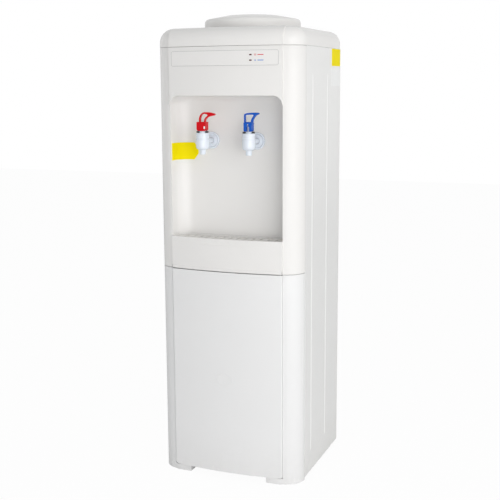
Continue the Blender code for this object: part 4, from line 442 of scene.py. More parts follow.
def make_upper_front():
    """Plan lines stacked from the seam up: apron, tray well, bay with its fillets, band.

    Each line has the right pilaster, a front margin, the bay's own line and the mirror
    image, so that the bay's walls, its rounded mouth and its ceiling are one grid. Both
    ends are rolled inwards, which leaves the dark seams under the cover and the apron.
    """
    low, high = SEAM_Z + 0.3 * MM, COVER_Z - 0.5 * MM
    ledge, ledge_z = 0.95 * MM, SEAM_Z + 7 * MM
    rows = [front_row(z, BAND_HALF, face_line(BAND_HALF, inset + set_back), inset)
            for inset, set_back, z in
            ((WALL, 0, low), (1.2 * MM, ledge, low), (0.5 * MM, ledge, low + 0.25 * MM),
             (0.1 * MM, ledge, low + 0.8 * MM), (0, ledge, low + 1.6 * MM),
             (0, ledge, ledge_z - 0.3 * MM), (0, 0.1 * MM, ledge_z), (0, 0, ledge_z + 0.4 * MM),
             (0, 0, SEAM_Z + 20 * MM), (0, 0, LIP_Z - 12 * MM), (0, 0, LIP_Z - 1.5 * MM))]
    inner = BAND_HALF - WALL
    well = bay_line(inner, band_y(inner) + WALL, BAY_BACK - WALL, BAY_FILLET - WALL)
    rows += [front_row(z, BAND_HALF, line, outer_z=outer) for z, line, outer in
             ((LIP_Z - 0.45 * MM, face_line(BAND_HALF, 0.45 * MM), LIP_Z - 0.45 * MM),
              (LIP_Z, face_line(BAND_HALF - MM, 1.5 * MM), LIP_Z),
              (LIP_Z, face_line(inner, WALL), LIP_Z), (WELL_Z, face_line(inner, WALL), LIP_Z),
              (WELL_Z, well, LIP_Z), (LIP_Z, well, LIP_Z))]
    heights = np.concatenate((np.linspace(LIP_Z, BAY_TOP - BAY_CORNER, 14),
                              BAY_TOP - BAY_CORNER + round_over(BAY_CORNER, 22)[1:, 1]))
    for z in heights:
        rise = max(0.0, z - (BAY_TOP - BAY_CORNER))
        half = BAND_HALF - BAY_CORNER + math.sqrt(max(BAY_CORNER ** 2 - rise ** 2, 0))
        lift = max(0.0, z - (BAY_TOP - CEILING_ROUND))
        depth = BAY_BACK - CEILING_ROUND + math.sqrt(max(CEILING_ROUND ** 2 - lift ** 2, 0))
        front = band_y(half) if rise else pilaster()[-1, 1]
        fillet = min(BAY_FILLET, depth - front - MM)
        rows.append(front_row(z, half, bay_line(half, front, depth, fillet), walled=not rise))
    rows.append(front_row(BAY_TOP, half, face_line(half)))
    rows += [front_row(z, BAND_HALF, face_line(BAND_HALF, inset), inset) for inset, z in
             ((0, BAY_TOP + 15 * MM), (0, high - 0.8 * MM), (0.3 * MM, high - 0.2 * MM),
              (0.8 * MM, high), (WALL, high))]
    mesh = grid_mesh(np.stack(rows), around=False)
    place_piece("upper_front_skin", mesh, "root", "case_white", ("upper_front",), 32, 0.9 * MM)


def make_apron_line():
    """Slim raised line under the lip: a cosine ridge whose height fades to both ends."""
    half, middle_z, half_high, proud = 76 * MM, 494 * MM, 0.9 * MM, 0.5 * MM
    x = np.linspace(-half, half, 97)
    z = middle_z + 3 * MM * (x / (75 * MM)) ** 2
    fade = np.clip(1 - (x / half) ** 4, 0, 1)
    across = np.linspace(-1, 1, 9)
    ridge = 0.5 + 0.5 * np.cos(math.pi * across)
    grid = np.empty((len(x), len(across), 3))
    grid[..., 0] = x[:, None]
    grid[..., 1] = band_y(x)[:, None] + 0.06 * MM - proud * ridge * fade[:, None]
    grid[..., 2] = z[:, None] + half_high * across
    place_piece("apron_line", grid_mesh(grid, around=False), "root", "case_white", (), 60)


def make_bay_tag():
    """Blank vinyl tag along the bay's left wall and round its fillet, to a blunt point."""
    line = bay_line(BAND_HALF, pilaster()[-1, 1], BAY_BACK, BAY_FILLET)[::-1]
    middle_z, half_high, tip, taper = 678 * MM, 17.5 * MM, 79 * MM, 13 * MM
    along = np.concatenate((np.linspace(5, 66, 40), np.linspace(67, 75.5, 12))) * MM
    place = points_along(line, along)
    way = np.gradient(place, axis=0)
    away = np.column_stack((way[:, 1], -way[:, 0])) / np.linalg.norm(way, axis=1)[:, None]
    high = half_high * np.clip((tip - along) / taper, 0, 1)
    ring = np.array([(-1, 0.02), (-1, 0.2), (-0.5, 0.22), (0, 0.22), (0.5, 0.22), (1, 0.2),
                     (1, 0.02)])
    grid = np.empty((len(along), len(ring), 3))
    grid[..., :2] = place[:, None] + away[:, None] * ring[None, :, 1:] * MM
    grid[..., 2] = middle_z + high[:, None] * ring[None, :, 0]
    place_piece("bay_tag", grid_mesh(grid), "root", "case_white", (), 40, finish="yellow_tag")


def make_side_tags():
    """Two blank vinyl tags on the right side panel, near its top rear corner."""
    face = HALF_WIDTH + 0.02 * MM
    for name, outline, finish in (
            ("upper_side_tag", (77, 139, 849.5, 885), "yellow_tag"),
            ("lower_side_tag", (75, 137, 808, 845), "white_tag")):
        mesh = slab(rounded_box(*(value * MM for value in outline), 1.5 * MM),
                    face, face + 0.18 * MM, "X")
        place_piece(name, mesh, "root", "painted_sheet", (), 40, finish=finish)


make_top_cover()
make_upper_front()
make_apron_line()
make_bay_tag()


def carved(mesh, cuts, additions=()):
    """A mesh after exact Booleans: first the cuts are taken away, then the rest is added."""
    piece = new_object("blank", mesh)
    tools = [new_object("tool", tool_mesh) for tool_mesh in (*cuts, *additions)]
    for k, tool in enumerate(tools):
        step = piece.modifiers.new("step", "BOOLEAN")
        step.operation = "DIFFERENCE" if k < len(cuts) else "UNION"
        step.solver, step.object = "EXACT", tool
    bpy.context.view_layer.update()
    graph = bpy.context.evaluated_depsgraph_get()
    result = bpy.data.meshes.new_from_object(piece.evaluated_get(graph))
    for spare in (piece, *tools):
        bpy.data.objects.remove(spare, do_unlink=True)
    return result


def slab(outline, low, high, axis="Z"):
    """A closed outline carried straight along one axis and capped."""
    *plane, along = {"Z": (0, 1, 2), "Y": (0, 2, 1), "X": (1, 2, 0)}[axis]
    grid = np.empty((2, len(outline), 3))
    grid[..., plane] = outline
    grid[..., along] = (low,), (high,)
    return grid_mesh(grid)


def box_mesh(low, high):
    """A closed box between two opposite corners."""
    (x0, y0, z0), (x1, y1, z1) = low, high
    return slab([(x0, y0), (x1, y0), (x1, y1), (x0, y1)], z0, z1)


def rounded_box(left, right, low, high, radius, steps=6):
    """A rectangle's outline with four round corners, anticlockwise."""
    return np.vstack((arc(right - radius, low + radius, radius, -90, 0, steps),
                      arc(right - radius, high - radius, radius, 0, 90, steps),
                      arc(left + radius, high - radius, radius, 90, 180, steps),
                      arc(left + radius, low + radius, radius, 180, 270, steps)))


def tube(path, radius, sides):
    """Circles carried along a path, kept from twisting by carrying one normal forward."""
    path = np.asarray(path, float)
    ahead = np.gradient(path, axis=0)
    ahead /= np.linalg.norm(ahead, axis=1)[:, None]
    normal = np.cross(ahead[0], (0.3, 0.5, 0.8))
    frames = []
    for way in ahead:
        normal = normal - way * normal.dot(way)
        normal /= np.linalg.norm(normal)
        frames.append((normal, np.cross(way, normal)))
    frames = np.array(frames)
    t = full_turn(sides)
    ring = (np.cos(t)[None, :, None] * frames[:, None, 0]
            + np.sin(t)[None, :, None] * frames[:, None, 1])
    return path[:, None] + ring * radius


def make_bottle_seat():
    """Turned collar for the bottle, its funnel and its neck, with every corner eased."""
    profile = np.array([
        (84.9, 911.1), (87.4, 911.1), (87.4, 923.3), (100, 923.3), (100, 937.7), (98.7, 941.2),
        (96.5, 943.5), (93.6, 944.6), (57.5, 951.2), (55, 952), (52.5, 951), (50, 934.5),
        (32.5, 916.9), (30, 910.5), (30, 843.3), (33, 843.3), (33, 908.9), (52.5, 929.7),
        (57.5, 946.5), (84.9, 939.3)]) * MM
    turned_piece("bottle_collar", profile, (0, SEAT_Y, 0), "root", "case_white",
                 ("bottle_seat",), "Z", 2 * MM, 96)


FRAME_FACE, FRAME_BACK = -122 * MM, -119 * MM
DOOR_LOW, DOOR_HIGH, DOOR_REAR, DOOR_CORNER = 13.5 * MM, 439.1 * MM, -124 * MM, 6 * MM


def drawn_in(rise, radius):
    """How far a round corner of that radius has drawn its edge in at a height above it."""
    return radius - math.sqrt(max(radius ** 2 - max(radius - rise, 0) ** 2, 0))


def make_door():
    """Bowed skin: plan rings from the bottom up, drawn in at the two lower corners.

    The catch side keeps a crisp edge and a wide corner, the hinge side a rolled edge.
    """
    catch_edge, hinge_edge, chamfer = 0.9 * MM, 2.2 * MM, 3.5 * MM
    rear = DOOR_REAR - 0.2 * MM
    rises = np.concatenate((np.linspace(0, DOOR_CORNER, 13),
                            np.linspace(DOOR_CORNER, DOOR_HIGH - DOOR_LOW, 11)[1:]))
    rows = []
    for rise in rises:
        left = drawn_in(rise, DOOR_CORNER) - BAND_HALF
        right = BAND_HALF - drawn_in(rise, 3 * MM)
        x = np.linspace(right - hinge_edge, left + catch_edge, 41)
        y = band_y(x)
        hinge = arc(x[0], y[0] + hinge_edge, hinge_edge, 0, -82, 8)
        catch = arc(x[-1], y[-1] + catch_edge, catch_edge, -98, -180, 6)
        plan = np.vstack((hinge, np.column_stack((x, y))[1:-1], catch,
                          [(left, rear), (right - chamfer, rear), (right, rear - chamfer)]))
        rows.append(lifted(plan, DOOR_LOW + rise))
    mesh = grid_mesh(np.stack(rows))
    place_piece("door_skin", mesh, "door", "lower_white", ("door_panel",), 40, 0.5 * MM)


def make_door_boss():
    """Plain oval boss with a raised rim: ellipses drawn in, each at its own height."""
    middle_x, middle_z, half_wide, half_high = -1.5 * MM, 214.5 * MM, 19 * MM, 14 * MM
    t = full_turn(48)
    rings = []
    for share, proud in ((1.0, -0.3), (1.0, 0.3), (0.95, 0.55), (0.88, 0.6), (0.82, 0.42),
                         (0.3, 0.45), (0.02, 0.45)):
        x = middle_x + half_wide * share * np.cos(t)
        z = middle_z + half_high * share * np.sin(t)
        rings.append(np.column_stack((x, band_y(x) - proud * MM, z)))
    place_piece("door_boss", grid_mesh(np.stack(rings)), "door", "lower_white", (), 25)


def make_lower_frame():
    """Plan of both pilasters, the rebate and the face plate carried up, then opened."""
    gaps = {1: BAND_HALF + 0.4 * MM, -1: BAND_HALF + 1.7 * MM}
    halves = {}
    for side, rebate in gaps.items():
        outer = pilaster(0, rebate, -2.3)
        inner = arc(PILASTER_X, PILASTER_Y, PILASTER_RADIUS - WALL, -50, 0, 10)
        halves[side] = np.vstack(([(rebate + WALL, FRAME_BACK)], inner, outer,
                                  [(rebate, FRAME_FACE)]))
    plan = np.vstack((halves[1], mirrored(halves[-1])))
    top, foot, foot_x, sole_y = SEAM_Z - 0.3 * MM, 12.2 * MM, 85 * MM, -135.2 * MM
    shell = slab(plan, foot / 2, top)
    opening = slab(rounded_box(-105 * MM, 105 * MM, 30 * MM, 424 * MM, 6 * MM),
                   FRAME_FACE - 5 * MM, FRAME_BACK + 5 * MM, "Y")
    below = box_mesh((-foot_x, -HALF_DEPTH, -foot), (foot_x, HALF_DEPTH, 16 * MM))
    additions = []
    for side in (-1, 1):
        sole = np.vstack((pilaster(0, gaps[side]), [(PILASTER_X, sole_y), (foot_x, sole_y),
                                                    (foot_x, PILASTER_Y)])) * (side, 1)
        additions.append(slab(sole, 0, foot))
        # The step over the foot and the tongue behind the side panel
        for ends, y0, y1, high in (((foot_x, 139 * MM), FRAME_FACE, PILASTER_Y, 15.7 * MM),
                                   ((153.5 * MM, 151.5 * MM), -104.7 * MM, -80.3 * MM, top)):
            x0, x1 = sorted(side * x for x in ends)
            additions.append(box_mesh((x0, y0, foot / 2), (x1, y1, high)))
    mesh = carved(shell, [opening, below], additions)
    place_piece("lower_frame_skin", mesh, "root", "lower_white", ("lower_frame",), 35, 0.7 * MM)


def make_side_panel(side, name):
    """Folded sheet: a plan ring carried up, its face raised into two upright beads.

    The bead is a raised cosine across its width, fading in and out over its two ends.
    """
    gap, corner, fold, sheet, low, high = np.array((92.2, 3, 14, 1.2, 5, 885.7)) * MM
    bead_half, bead_low, bead_high, fading, proud = np.array((1.9, 50, 833, 4, 1)) * MM
    beads = np.array((-53, 47)) * MM
    y = np.unique(np.concatenate((np.linspace(-gap, HALF_DEPTH - corner, 40),
                                  *(bead + np.linspace(-2.4, 2.4, 17) * MM for bead in beads))))
    face = np.column_stack((np.full(len(y), HALF_WIDTH), y))
    bend = arc(HALF_WIDTH - corner, HALF_DEPTH - corner, corner, 0, 90, 8)[1:]
    edge, inner, back = HALF_WIDTH - fold, HALF_WIDTH - sheet, HALF_DEPTH - sheet
    plan = np.vstack((face, bend, [(edge, HALF_DEPTH), (edge, back), (inner, back),
                                   (inner, -gap)]))
    z = np.unique(np.concatenate((np.linspace(low, high, 24), np.linspace(48, 56, 9) * MM,
                                  np.linspace(827, 835, 9) * MM)))
    grid = np.empty((len(z), len(plan), 3))
    grid[..., 0], grid[..., 1], grid[..., 2] = plan[:, 0], plan[:, 1], z[:, None]
    away = np.min(np.abs(y - beads[:, None]), axis=0) / bead_half
    crown = np.where(away < 1, 0.5 + 0.5 * np.cos(np.pi * np.clip(away, 0, 1)), 0)
    fade = np.clip((z - bead_low) / fading, 0, 1) * np.clip((bead_high - z) / fading, 0, 1)
    grid[:, :len(y), 0] += proud * fade[:, None] * crown
    grid[..., 0] *= side
    place_piece(name + "_skin", grid_mesh(grid), "root", "painted_sheet", (name,), 30)


def make_strip():
    """Clear strip on the band: plan rings narrowed at its round corners."""
    half, low, high, corner = 113 * MM, 848.5 * MM, 877 * MM, 3.5 * MM
    bend = round_over(corner, 6)[:, 0]
    rows = []
    for z in np.concatenate((low + bend, np.linspace(low + 6 * MM, high - 6 * MM, 4),
                             high - bend[::-1])):
        line = band(half - drawn_in(min(z - low, high - z), corner), 0, 48)
        rows.append(lifted(np.vstack((line + (0, -0.12 * MM), line[::-1] + (0, 0.5 * MM))), z))
    mesh = grid_mesh(np.stack(rows))
    place_piece("indicator_face", mesh, "root", "strip", ("indicator_strip",), 40)
    make_strip_edge_shade(rounded_box(-half, half, low, high, corner, 8))
    make_lamp("heat", 868.4 * MM)
    make_lamp("cool", 858 * MM)


def make_strip_edge_shade(outline):
    """Fine grey line round the strip, painted shade where the strip's edge meets the band: a thin
    tube that follows the band's bow.
    """
    dense = []
    for a, b in zip(outline, np.roll(outline, -1, 0)):
        steps = max(1, int(np.linalg.norm(b - a) / (4 * MM)))
        dense.append(a + (b - a) * np.linspace(0, 1, steps, endpoint=False)[:, None])
    x, z = np.vstack(dense).T
    rim = tube(np.column_stack((x, band_y(x) - 0.02 * MM, z)), 0.32 * MM, 8)
    mesh = grid_mesh(rim, along=True)
    place_piece("indicator_edge_shade", mesh, "root", "strip", (), 60, finish="edge_shade_grey")


def make_lamp(kind, z):
    """Small dark lens and the sign beside it."""
    x, node = 58 * MM, kind + "_lamp"
    outline = rounded_box(x - 2.5 * MM, x + 2.5 * MM, z - 1.25 * MM, z + 1.25 * MM, 0.4 * MM, 3)
    mesh = slab(outline, band_y(x) - 0.45 * MM, band_y(x) + 4 * MM, "Y")
    place_piece(node + "_lens", mesh, "root", "lamp_dark", (node,), 40, 0.15 * MM)
    make_sign(kind, z)


def printed(outline, proud=0.20 * MM):
    """A flat printed shape on the band, following its bow."""
    x, z = np.asarray(outline, float).T
    front = np.column_stack((x, band_y(x) - proud, z))
    return np.stack((front + (0, 0.12 * MM, 0), front))


def make_sign(kind, z):
    """A plain sign beside a lamp: three rising waves or a six-armed star, and a bar."""
    grids = []
    for k in range(3):
        if kind == "heat":
            t = np.linspace(0, 1, 13)
            x = (66 + 1.5 * k) * MM + 0.35 * MM * np.sin(2 * math.pi * t)
            line = np.column_stack((x, z + (t - 0.5) * 4 * MM))
            shape = np.vstack((line + (0.28 * MM, 0), line[::-1] - (0.28 * MM, 0)))
            grids.append(printed(shape))
        else:
            a = math.pi * k / 3 + math.pi / 2
            way = np.array((math.cos(a), math.sin(a))) * 2 * MM
            across = np.array((-math.sin(a), math.cos(a))) * 0.25 * MM
            shape = np.array((way + across, across - way, -way - across, way - across))
            grids.append(printed(shape + (67.5 * MM, z), (0.20 + 0.02 * k) * MM))
    grids.append(printed(rounded_box(72 * MM, 84 * MM, z - 0.8 * MM, z + 0.8 * MM, 0.6 * MM, 4)))
    place_piece(kind + "_sign", grid_mesh(*grids), "root", "strip", (), 60, finish=kind + "_ink")


make_bottle_seat()
make_door()
make_door_boss()
make_lower_frame()
make_side_panel(-1, "left_side_panel")
make_side_panel(1, "right_side_panel")
make_strip()


def smooth_outline(points, sharp):
    """A closed Hermite curve through outline points.

    The tangent at a point follows the chord between its neighbours, as long as the
    stretch it leads into; at a corner listed in sharp each side keeps its own direction.
    """
    p = np.asarray(points, float)
    ahead = np.roll(p, -1, 0) - p
    length = np.linalg.norm(ahead, axis=1)[:, None]
    chord = np.roll(p, -1, 0) - np.roll(p, 1, 0)
    way = chord / np.linalg.norm(chord, axis=1)[:, None]
    corner = np.isin(np.arange(len(p)), sharp)[:, None]
    leave = np.where(corner, ahead, way * length)
    arrive = np.where(np.roll(corner, -1, 0), ahead, np.roll(way, -1, 0) * length)
    t = np.linspace(0, 1, 5, endpoint=False)[None, :, None]
    curve = ((2 * t ** 3 - 3 * t ** 2 + 1) * p[:, None]
             + (t ** 3 - 2 * t ** 2 + t) * leave[:, None]
             + (3 * t ** 2 - 2 * t ** 3) * np.roll(p, -1, 0)[:, None]
             + (t ** 3 - t ** 2) * arrive[:, None])
    return curve.reshape(-1, 2)


def make_tap_body(kind, x):
    """Turned barrel with fine step lines, its spout, its inlet pipe and its nut.

    The profiles are (radius, height) pairs in mm: the barrel's heights count from the
    tap's top, with a cosine shoulder below, the others' along the inlet pipe.
    """
    radius, shoulder, bottom, spout = TAP_RADIUS / MM, 6.4, -34.5, -44.1
    t = np.linspace(0, math.pi / 2, 12)
    under = np.column_stack((radius - shoulder * (1 - np.sin(t)),
                             bottom + shoulder * (1 - np.cos(t))))
    lines = []
    for z, below, above, deep in ((-14, 0, 0.4, 0.8), (-9.5, 0.4, 0.4, 0.3),
                                  (-5.5, 0.4, 0.4, 0.3)):
        groove = radius - below - deep
        lines += [(radius - below, z), (groove, z + 0.25), (groove, z + 0.85),
                  (radius - above, z + 1.1)]
    barrel = np.vstack((
        [(4.4, spout), (5.6, spout), (6.1, spout + 0.5), (6.25, bottom - 1.4),
         (6.6, bottom - 0.5)], under, lines,
        [(radius - 0.4, -1.9), (radius - 0.8, -1.2), (radius - 1.5, -1), (9.9, -1), (9.5, -1.4),
         (9.5, -7.5), (9.5, -28.9), (3.8, -28.9), (3.8, spout + 1)]))
    wall_rear = BAY_BACK + WALL
    reach = (wall_rear - TAP_Y) / MM + 13
    pipe = ((4.2, 11.4), (6.6, 11.4), (6.2, 13.5), (6, 15), (6, reach - 0.5), (5.6, reach),
            (4.2, reach))
    nut = ((6.01, 0.3), (9.6, 0.3), (10.2, 0.9), (10.2, 4.7), (9.6, 5.3), (6.01, 5.3))
    grids = [revolved(np.array(profile) * MM, centre, axis, sides)
             for profile, centre, axis, sides in
             ((barrel, (x, TAP_Y, TAP_TOP), "Z", 64), (pipe, (x, TAP_Y, INLET_Z), "Y", 40),
              (nut, (x, wall_rear, INLET_Z), "Y", 6))]
    mesh = grid_mesh(*grids, along=True)
    place_piece(kind + "_tap_barrel", mesh, "root", "tap_white", (kind + "_tap_body",), 38,
                0.15 * MM)


def make_flange(kind, x):
    """Wall flange: raised round rim, sunk dish and inner boss, turned about the inlet."""
    profile = np.array([
        (6.3, -0.3), (17.4, -0.3), (17.4, -3.6), (17, -4.6), (16, -5), (14.8, -5), (14.2, -4.5),
        (13.4, -2.4), (12.4, -2), (11.2, -2.6), (9, -3.4), (7.6, -3.8), (6.3, -3.9)]) * MM
    turned_piece(kind + "_wall_flange", profile, (x, BAY_BACK, INLET_Z), "root", "tap_white",
                 (kind + "_tap_flange",), "Y", 0.35 * MM, 72)


def make_cap(kind, x):
    """Screwed bonnet with a knurled edge: its rim radius swings as a cosine round it."""
    profile = np.array([(2.8, -7), (9.2, -7), (9.2, -1.6), (7.9, -1.3), (8.1, -1.1), (8.1, 1.05),
                        (7.9, 1.3), (2.8, 1.3)]) * MM
    steps, knurls, knurl_high = 120, 30, 0.1 * MM
    grid = revolved(profile, (x, TAP_Y, TAP_TOP), "Z", steps)
    t = full_turn(steps)
    swell = knurl_high * np.cos(knurls * t)
    grid[4:6, :, 0] += swell * np.cos(t)
    grid[4:6, :, 1] += swell * np.sin(t)
    mesh = grid_mesh(grid, along=True)
    place_piece(kind + "_bonnet", mesh, "root", "tap_white", (kind + "_tap_cap",), 38)


def make_ring(kind, x):
    """Swivel ring under the lever: a flat turned washer with eased edges."""
    profile = np.array([(2.8, 1.6), (8, 1.6), (8, 2.4), (2.8, 2.4)]) * MM
    turned_piece(kind + "_swivel_washer", profile, (x, TAP_Y, TAP_TOP), kind + "_swivel",
                 "tap_white", (kind + "_thrust_ring",), "Z", 0.2 * MM, 64)


def make_neck_shade_ring(kind, x):
    """Dark open ring round the neck, facing front: painted shade, its ends either side of the
    bonnet stand for the shadowed gaps under the lever. Two arcs joined to an open ring.
    """
    outline = np.vstack((arc(x, TAP_Y, 12.1 * MM, -27, 251, 70),
                         arc(x, TAP_Y, 8.5 * MM, 251, -27, 52)))
    mesh = slab(outline, TAP_TOP - 0.8 * MM, TAP_TOP + 2.2 * MM)
    # Painted shade: the dark ring's ends show as the shadow in the gaps beside the bonnet.
    place_piece(kind + "_neck_shade_ring", mesh, "root", "dark_plastic", (), 40, 0.35 * MM)


# Lever outlines in squares of one drawing grid, from the middle of the lever's foot
LEVER_FOOT = TAP_TOP + 2.7 * MM
GRID = 36.7 * MM / 37
LOOPS = {
    "hot": ((-6.8, 0), (6.8, 0), (7.8, 1), (7.8, 16), (7.6, 17.5), (7.8, 21.8), (10.5, 25.2),
            (14.5, 27.8), (19, 29.2), (25.5, 30.4), (28, 31.6), (28.6, 32.9), (27.6, 34.2),
            (25, 35), (18, 36.6), (10, 37), (4, 36.7), (-1, 34), (-4.5, 29.5), (-6, 24),
            (-6.3, 17.2), (-7.8, 16), (-7.8, 1)),
    "cold": ((-7.2, 0), (7.2, 0), (8.7, 1.5), (8.7, 13), (9.2, 18), (10.3, 23), (12.8, 27.5),
             (16.5, 31.2), (20.5, 33), (22.3, 34.7), (20.5, 36.4), (14, 37), (3, 36.4),
             (-5.5, 35), (-7.8, 33.8), (-8.7, 31), (-8.7, 1.5)),
}
WINDOWS = {
    "hot": ((-3.6, 18), (4.6, 18), (5.4, 22.5), (8.6, 27.4), (12.5, 31), (9, 33.4), (4, 33.8),
            (0, 31.8), (-2.6, 27.5), (-3.6, 23)),
    "cold": ((-6.2, 18.5), (5.4, 18.5), (6.4, 23), (8.8, 27.5), (11.2, 31.6), (10, 32.8),
             (-5, 32.2), (-6.2, 30.8)),
}
SHARP_LOOP = {"hot": (0, 1, 2, 3, 4, 20, 21, 22), "cold": (0, 1, 2, 3, 16)}
SHARP_WINDOW = (0, 1)
# Half width, half waist, the waist's floor above the foot and the pocket's reach, in mm
LEVER_SIZES = {"hot": (5, 3.0, 16.2, 10), "cold": (6, 3.3, 17.1, 7.6)}


def make_lever(kind, x):
    """Loop lever: a smooth curve through its outline, carried across, opened and softened.

    The foot keeps its full width, with an arch through the cold one, and the loop above
    it is thinned to the waist.
    """
    half, waist, floor, reach = (size * MM for size in LEVER_SIZES[kind])
    loop = smooth_outline(LOOPS[kind], SHARP_LOOP[kind]) * GRID + (x, LEVER_FOOT)
    window = smooth_outline(WINDOWS[kind], SHARP_WINDOW) * GRID + (x, LEVER_FOOT)
    blank = slab(loop, TAP_Y - half, TAP_Y + half, "Y")
    across = (TAP_Y - 2 * half, TAP_Y + 2 * half, "Y")
    clear, room, pin = 40 * MM, 3 * MM, LEVER_FOOT + 13 * MM
    cuts = []
    for side in (-1, 1):
        y0, y1 = sorted((TAP_Y + side * waist, TAP_Y + side * 2 * half))
        cuts.append(box_mesh((x - clear, y0, LEVER_FOOT + floor),
                             (x + clear, y1, LEVER_FOOT + clear)))
    cuts += [slab(window, *across),
             box_mesh((x - room - 0.3 * MM, TAP_Y - room, LEVER_FOOT - MM),
                      (x + reach, TAP_Y + room, pin + room)),
             slab(arc(x, pin, 1.5 * MM, 0, 352.5, 47), *across)]
    if kind == "cold":
        side, low = 3.1 * MM, LEVER_FOOT - MM
        arch = np.vstack(([(x - side, low), (x + side, low)],
                          arc(x, LEVER_FOOT + 7.2 * MM, side, 0, 180, 14)))
        cuts.append(slab(arch, *across))
    place_piece(kind + "_handle", carved(blank, cuts), kind + "_lever",
                {"hot": "hot_red", "cold": "cold_blue"}[kind], (kind + "_lever",), 30, 0.55 * MM)


def make_sleeve(x):
    """Lock sleeve: a rounded box open through its middle, with a small white patch at its lower
    front corner, partly a window onto white plastic and partly a painted highlight.
    """
    wide, deep, low, high = 10 * MM, 7 * MM, LEVER_FOOT, LEVER_FOOT + 17.7 * MM
    big, small, hollow_x, hollow_y = 3.9 * MM, 1.2 * MM, 8.14 * MM, 5.4 * MM
    outline = np.vstack((arc(x - wide + big, low + big, big, 180, 270, 10),
                         arc(x + wide - big, low + big, big, 270, 360, 10),
                         arc(x + wide - small, high - small, small, 0, 90, 5),
                         arc(x - wide + small, high - small, small, 90, 180, 5)))
    blank = slab(outline, TAP_Y - deep, TAP_Y + deep, "Y")
    hollow = box_mesh((x - hollow_x, TAP_Y - hollow_y, low - MM),
                      (x + hollow_x, TAP_Y + hollow_y, high + MM))
    mesh = carved(blank, [hollow])
    place_piece("lock_sleeve", mesh, "hot_sleeve", "hot_red", ("hot_lock_sleeve",), 30, 0.8 * MM)
    # Painted highlight: the white patch at the sleeve's lower right corner stands partly for the
    # glint there and partly for a window onto white plastic.
    outline = rounded_box(x + 5.5 * MM, x + 8.8 * MM, low + 4 * MM, low + 9.4 * MM, small, 5)
    mesh = slab(outline, TAP_Y - deep - 0.12 * MM, TAP_Y - deep + 0.8 * MM, "Y")
    place_piece("lock_window_highlight", mesh, "hot_sleeve", "hot_red", (), 40, 0.1 * MM, finish="window_highlight_white")


def make_taps():
    """Both taps, with the lock sleeve on the hot one."""
    for kind, x in (("hot", -TAP_X), ("cold", TAP_X)):
        for make in (make_tap_body, make_flange, make_cap, make_ring, make_neck_shade_ring, make_lever):
            make(kind, x)
    make_sleeve(-TAP_X)


TRAY_EDGE, TRAY_LOW, TRAY_TOP = 3.4 * MM, 476.3 * MM, 504 * MM
TRAY_RIM = TRAY_EDGE + 1.6 * MM
TRAY_LEDGE = TRAY_RIM + 3.2 * MM


def bay_outline(inset):
    """Plan of the tray: the bay's line set in by an inset, bowed in front."""
    half, back, fillet = BAND_HALF - inset, BAY_BACK - inset, BAY_FILLET - inset
    return np.vstack((band(half, inset, 24),
                      arc(fillet - half, back - fillet, fillet, 180, 90, 12),
                      arc(half - fillet, back - fillet, fillet, 90, 0, 12)))


def make_tray():
    """Tray: plan rings set in and stepped down over its ledge to its floor."""
    low, seat, top, ease = TRAY_LOW, 501.7 * MM, TRAY_TOP, 0.3 * MM
    rows = [(TRAY_EDGE + 1.2 * MM, low), (TRAY_EDGE, low + 1.2 * MM), (TRAY_EDGE, top - ease),
            (TRAY_EDGE + ease, top), (TRAY_RIM - ease, top), (TRAY_RIM, top - ease),
            (TRAY_RIM, seat), (TRAY_LEDGE - 0.4 * MM, seat), (TRAY_LEDGE, seat - 0.4 * MM),
            (TRAY_LEDGE, low + 3.6 * MM), (TRAY_LEDGE + 0.6 * MM, low + 2.2 * MM),
            (TRAY_LEDGE + 2 * MM, low + 1.6 * MM)]
    grid = np.stack([lifted(bay_outline(inset), z) for inset, z in rows])
    place_piece("tray_pan", grid_mesh(grid), "tray", "tray_grey", ("drip_tray",), 35)


def make_grille():
    """Grille: a plate of plan rings, cut by two rows of slots with round ends."""
    inset, ease, z0, z1 = TRAY_RIM + 0.4 * MM, 0.4 * MM, 502 * MM, TRAY_TOP
    grid = np.stack([lifted(bay_outline(i), z) for i, z in
                     ((inset, z0), (inset, z1 - ease), (inset + ease, z1))])
    plate = grid_mesh(grid)
    slot, count = 4 * MM, 13
    half = BAND_HALF - TRAY_LEDGE - BAY_FILLET / 2
    grids = []
    for x in np.linspace(-half, half, count):
        near, far = band_y(x) + TRAY_LEDGE + slot, BAY_BACK - TRAY_LEDGE - slot
        middle = (near + far) / 2
        for start, end in ((near, middle - slot / 3), (middle + slot / 3, far)):
            outline = rounded_box(x - slot / 2, x + slot / 2, start, end, slot / 2 - 0.01 * MM, 5)
            grids.append(np.stack((lifted(outline, z0 - MM), lifted(outline, z1 + MM))))
    mesh = carved(plate, [grid_mesh(*grids)])
    place_piece("grille_plate", mesh, "grille", "tray_grey", ("drip_grille",), 35, 0.3 * MM)


make_taps()
make_tray()
make_grille()
make_side_tags()


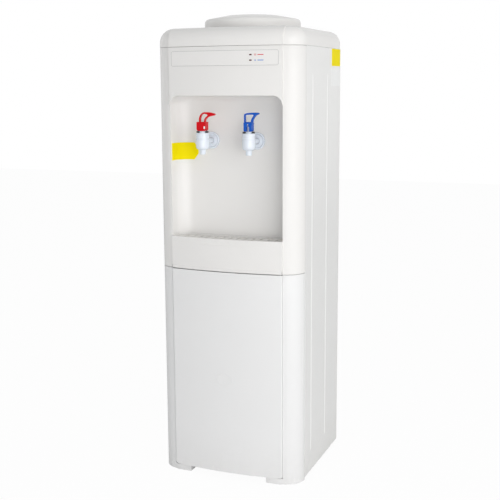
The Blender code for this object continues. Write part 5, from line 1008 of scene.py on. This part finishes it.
# Stage
def plain_stage():
    """Pale floor and a bright surround: white to the camera and in reflections."""
    size = 6.0
    mesh = bpy.data.meshes.new("studio_floor")
    mesh.from_pydata([(-size, -size, 0), (size, -size, 0), (size, size, 0), (-size, size, 0)],
                     [], [(0, 1, 2, 3)])
    floor = new_object("studio_floor", mesh)
    material = bpy.data.materials.new("Pale floor")
    material.use_nodes = True
    tree = material.node_tree
    shader = tree.nodes["Principled BSDF"]
    fill(tree, shader, (("Base Color", (0.86, 0.86, 0.86, 1)), ("Roughness", 0.6)))
    glow = add(tree, "Emission", (("Color", (1, 1, 1, 1)), ("Strength", 1.0)))
    path = add(tree, "LightPath").outputs
    share = maths(tree, "MULTIPLY", path["Is Camera Ray"], 0.96)
    blend = add(tree, "MixShader", ((0, share), (1, shader.outputs[0]), (2, glow.outputs[0])))
    tree.links.new(blend.outputs[0], tree.nodes["Material Output"].inputs["Surface"])
    mesh.materials.append(material)

    world = bpy.data.worlds.new("Soft studio")
    world.use_nodes = True
    bpy.context.scene.world = world
    tree = world.node_tree
    lit = tree.nodes["Background"]
    fill(tree, lit, (("Color", (0.98, 0.99, 1.0, 1)), ("Strength", 0.49)))
    plain = add(tree, "Background", (("Color", (1, 1, 1, 1)), ("Strength", 1.0)))
    path = add(tree, "LightPath").outputs
    bounced = maths(tree, "MAXIMUM", path["Is Glossy Ray"], path["Is Transmission Ray"])
    seen = maths(tree, "MAXIMUM", path["Is Camera Ray"], bounced)
    mix = add(tree, "MixShader", ((0, seen), (1, lit.outputs[0]), (2, plain.outputs[0])))
    tree.links.new(mix.outputs[0], tree.nodes["World Output"].inputs["Surface"])


def soft_lamp(name, place, target, size, power, colour=(1, 1, 1)):
    """A rectangular studio lamp turned towards a point on the cooler."""
    data = bpy.data.lights.new(name, "AREA")
    data.shape = "RECTANGLE"
    data.size, data.size_y = size
    data.energy = power
    data.color = colour
    lamp = new_object(name, data)
    lamp.location = place
    lamp.rotation_euler = (Vector(target) - Vector(place)).to_track_quat("-Z", "Y").to_euler()


plain_stage()
soft_lamp("key_lamp", (2.58, -2.2, 1.05), (0, 0, 0.53), (2.6, 2.6), 58, (1, 0.99, 0.98))
soft_lamp("edge_lamp", (3.0, -1.35, 0.9), (0, 0, 0.45), (0.6, 2.4), 3)
soft_lamp("side_lamp", (-2.6, 0.3, 1.0), (0, 0, 0.5), (1.2, 2.2), 9)
soft_lamp("low_lamp", (0.9, -2.5, 0.3), (0, 0, 0.75), (1.6, 0.5), 9)
soft_lamp("top_lamp", (0.2, -0.3, 2.8), (0, 0, 0.6), (1.6, 1.6), 3)


def make_camera():
    """The photograph's viewpoint: a little to the right, slightly above the middle."""
    place = Vector((0.7282, -1.8578, 0.8125))
    yaw, pitch, roll = 0.374, 0.1741, -0.0053
    ahead = Vector((-math.sin(yaw) * math.cos(pitch), math.cos(yaw) * math.cos(pitch),
                    -math.sin(pitch)))
    right = Vector((math.cos(yaw), math.sin(yaw), 0))
    up = right.cross(ahead)
    side = right * math.cos(roll) + up * math.sin(roll)
    top = up * math.cos(roll) - right * math.sin(roll)
    data = bpy.data.cameras.new("view_camera")
    data.sensor_width = 36
    data.lens = 67.85
    camera = new_object("view_camera", data)
    camera.matrix_world = Matrix.Translation(place) @ Matrix(
        (side, top, -ahead)).transposed().to_4x4()
    bpy.context.scene.camera = camera


make_camera()
bpy.context.scene.view_settings.view_transform = "Standard"
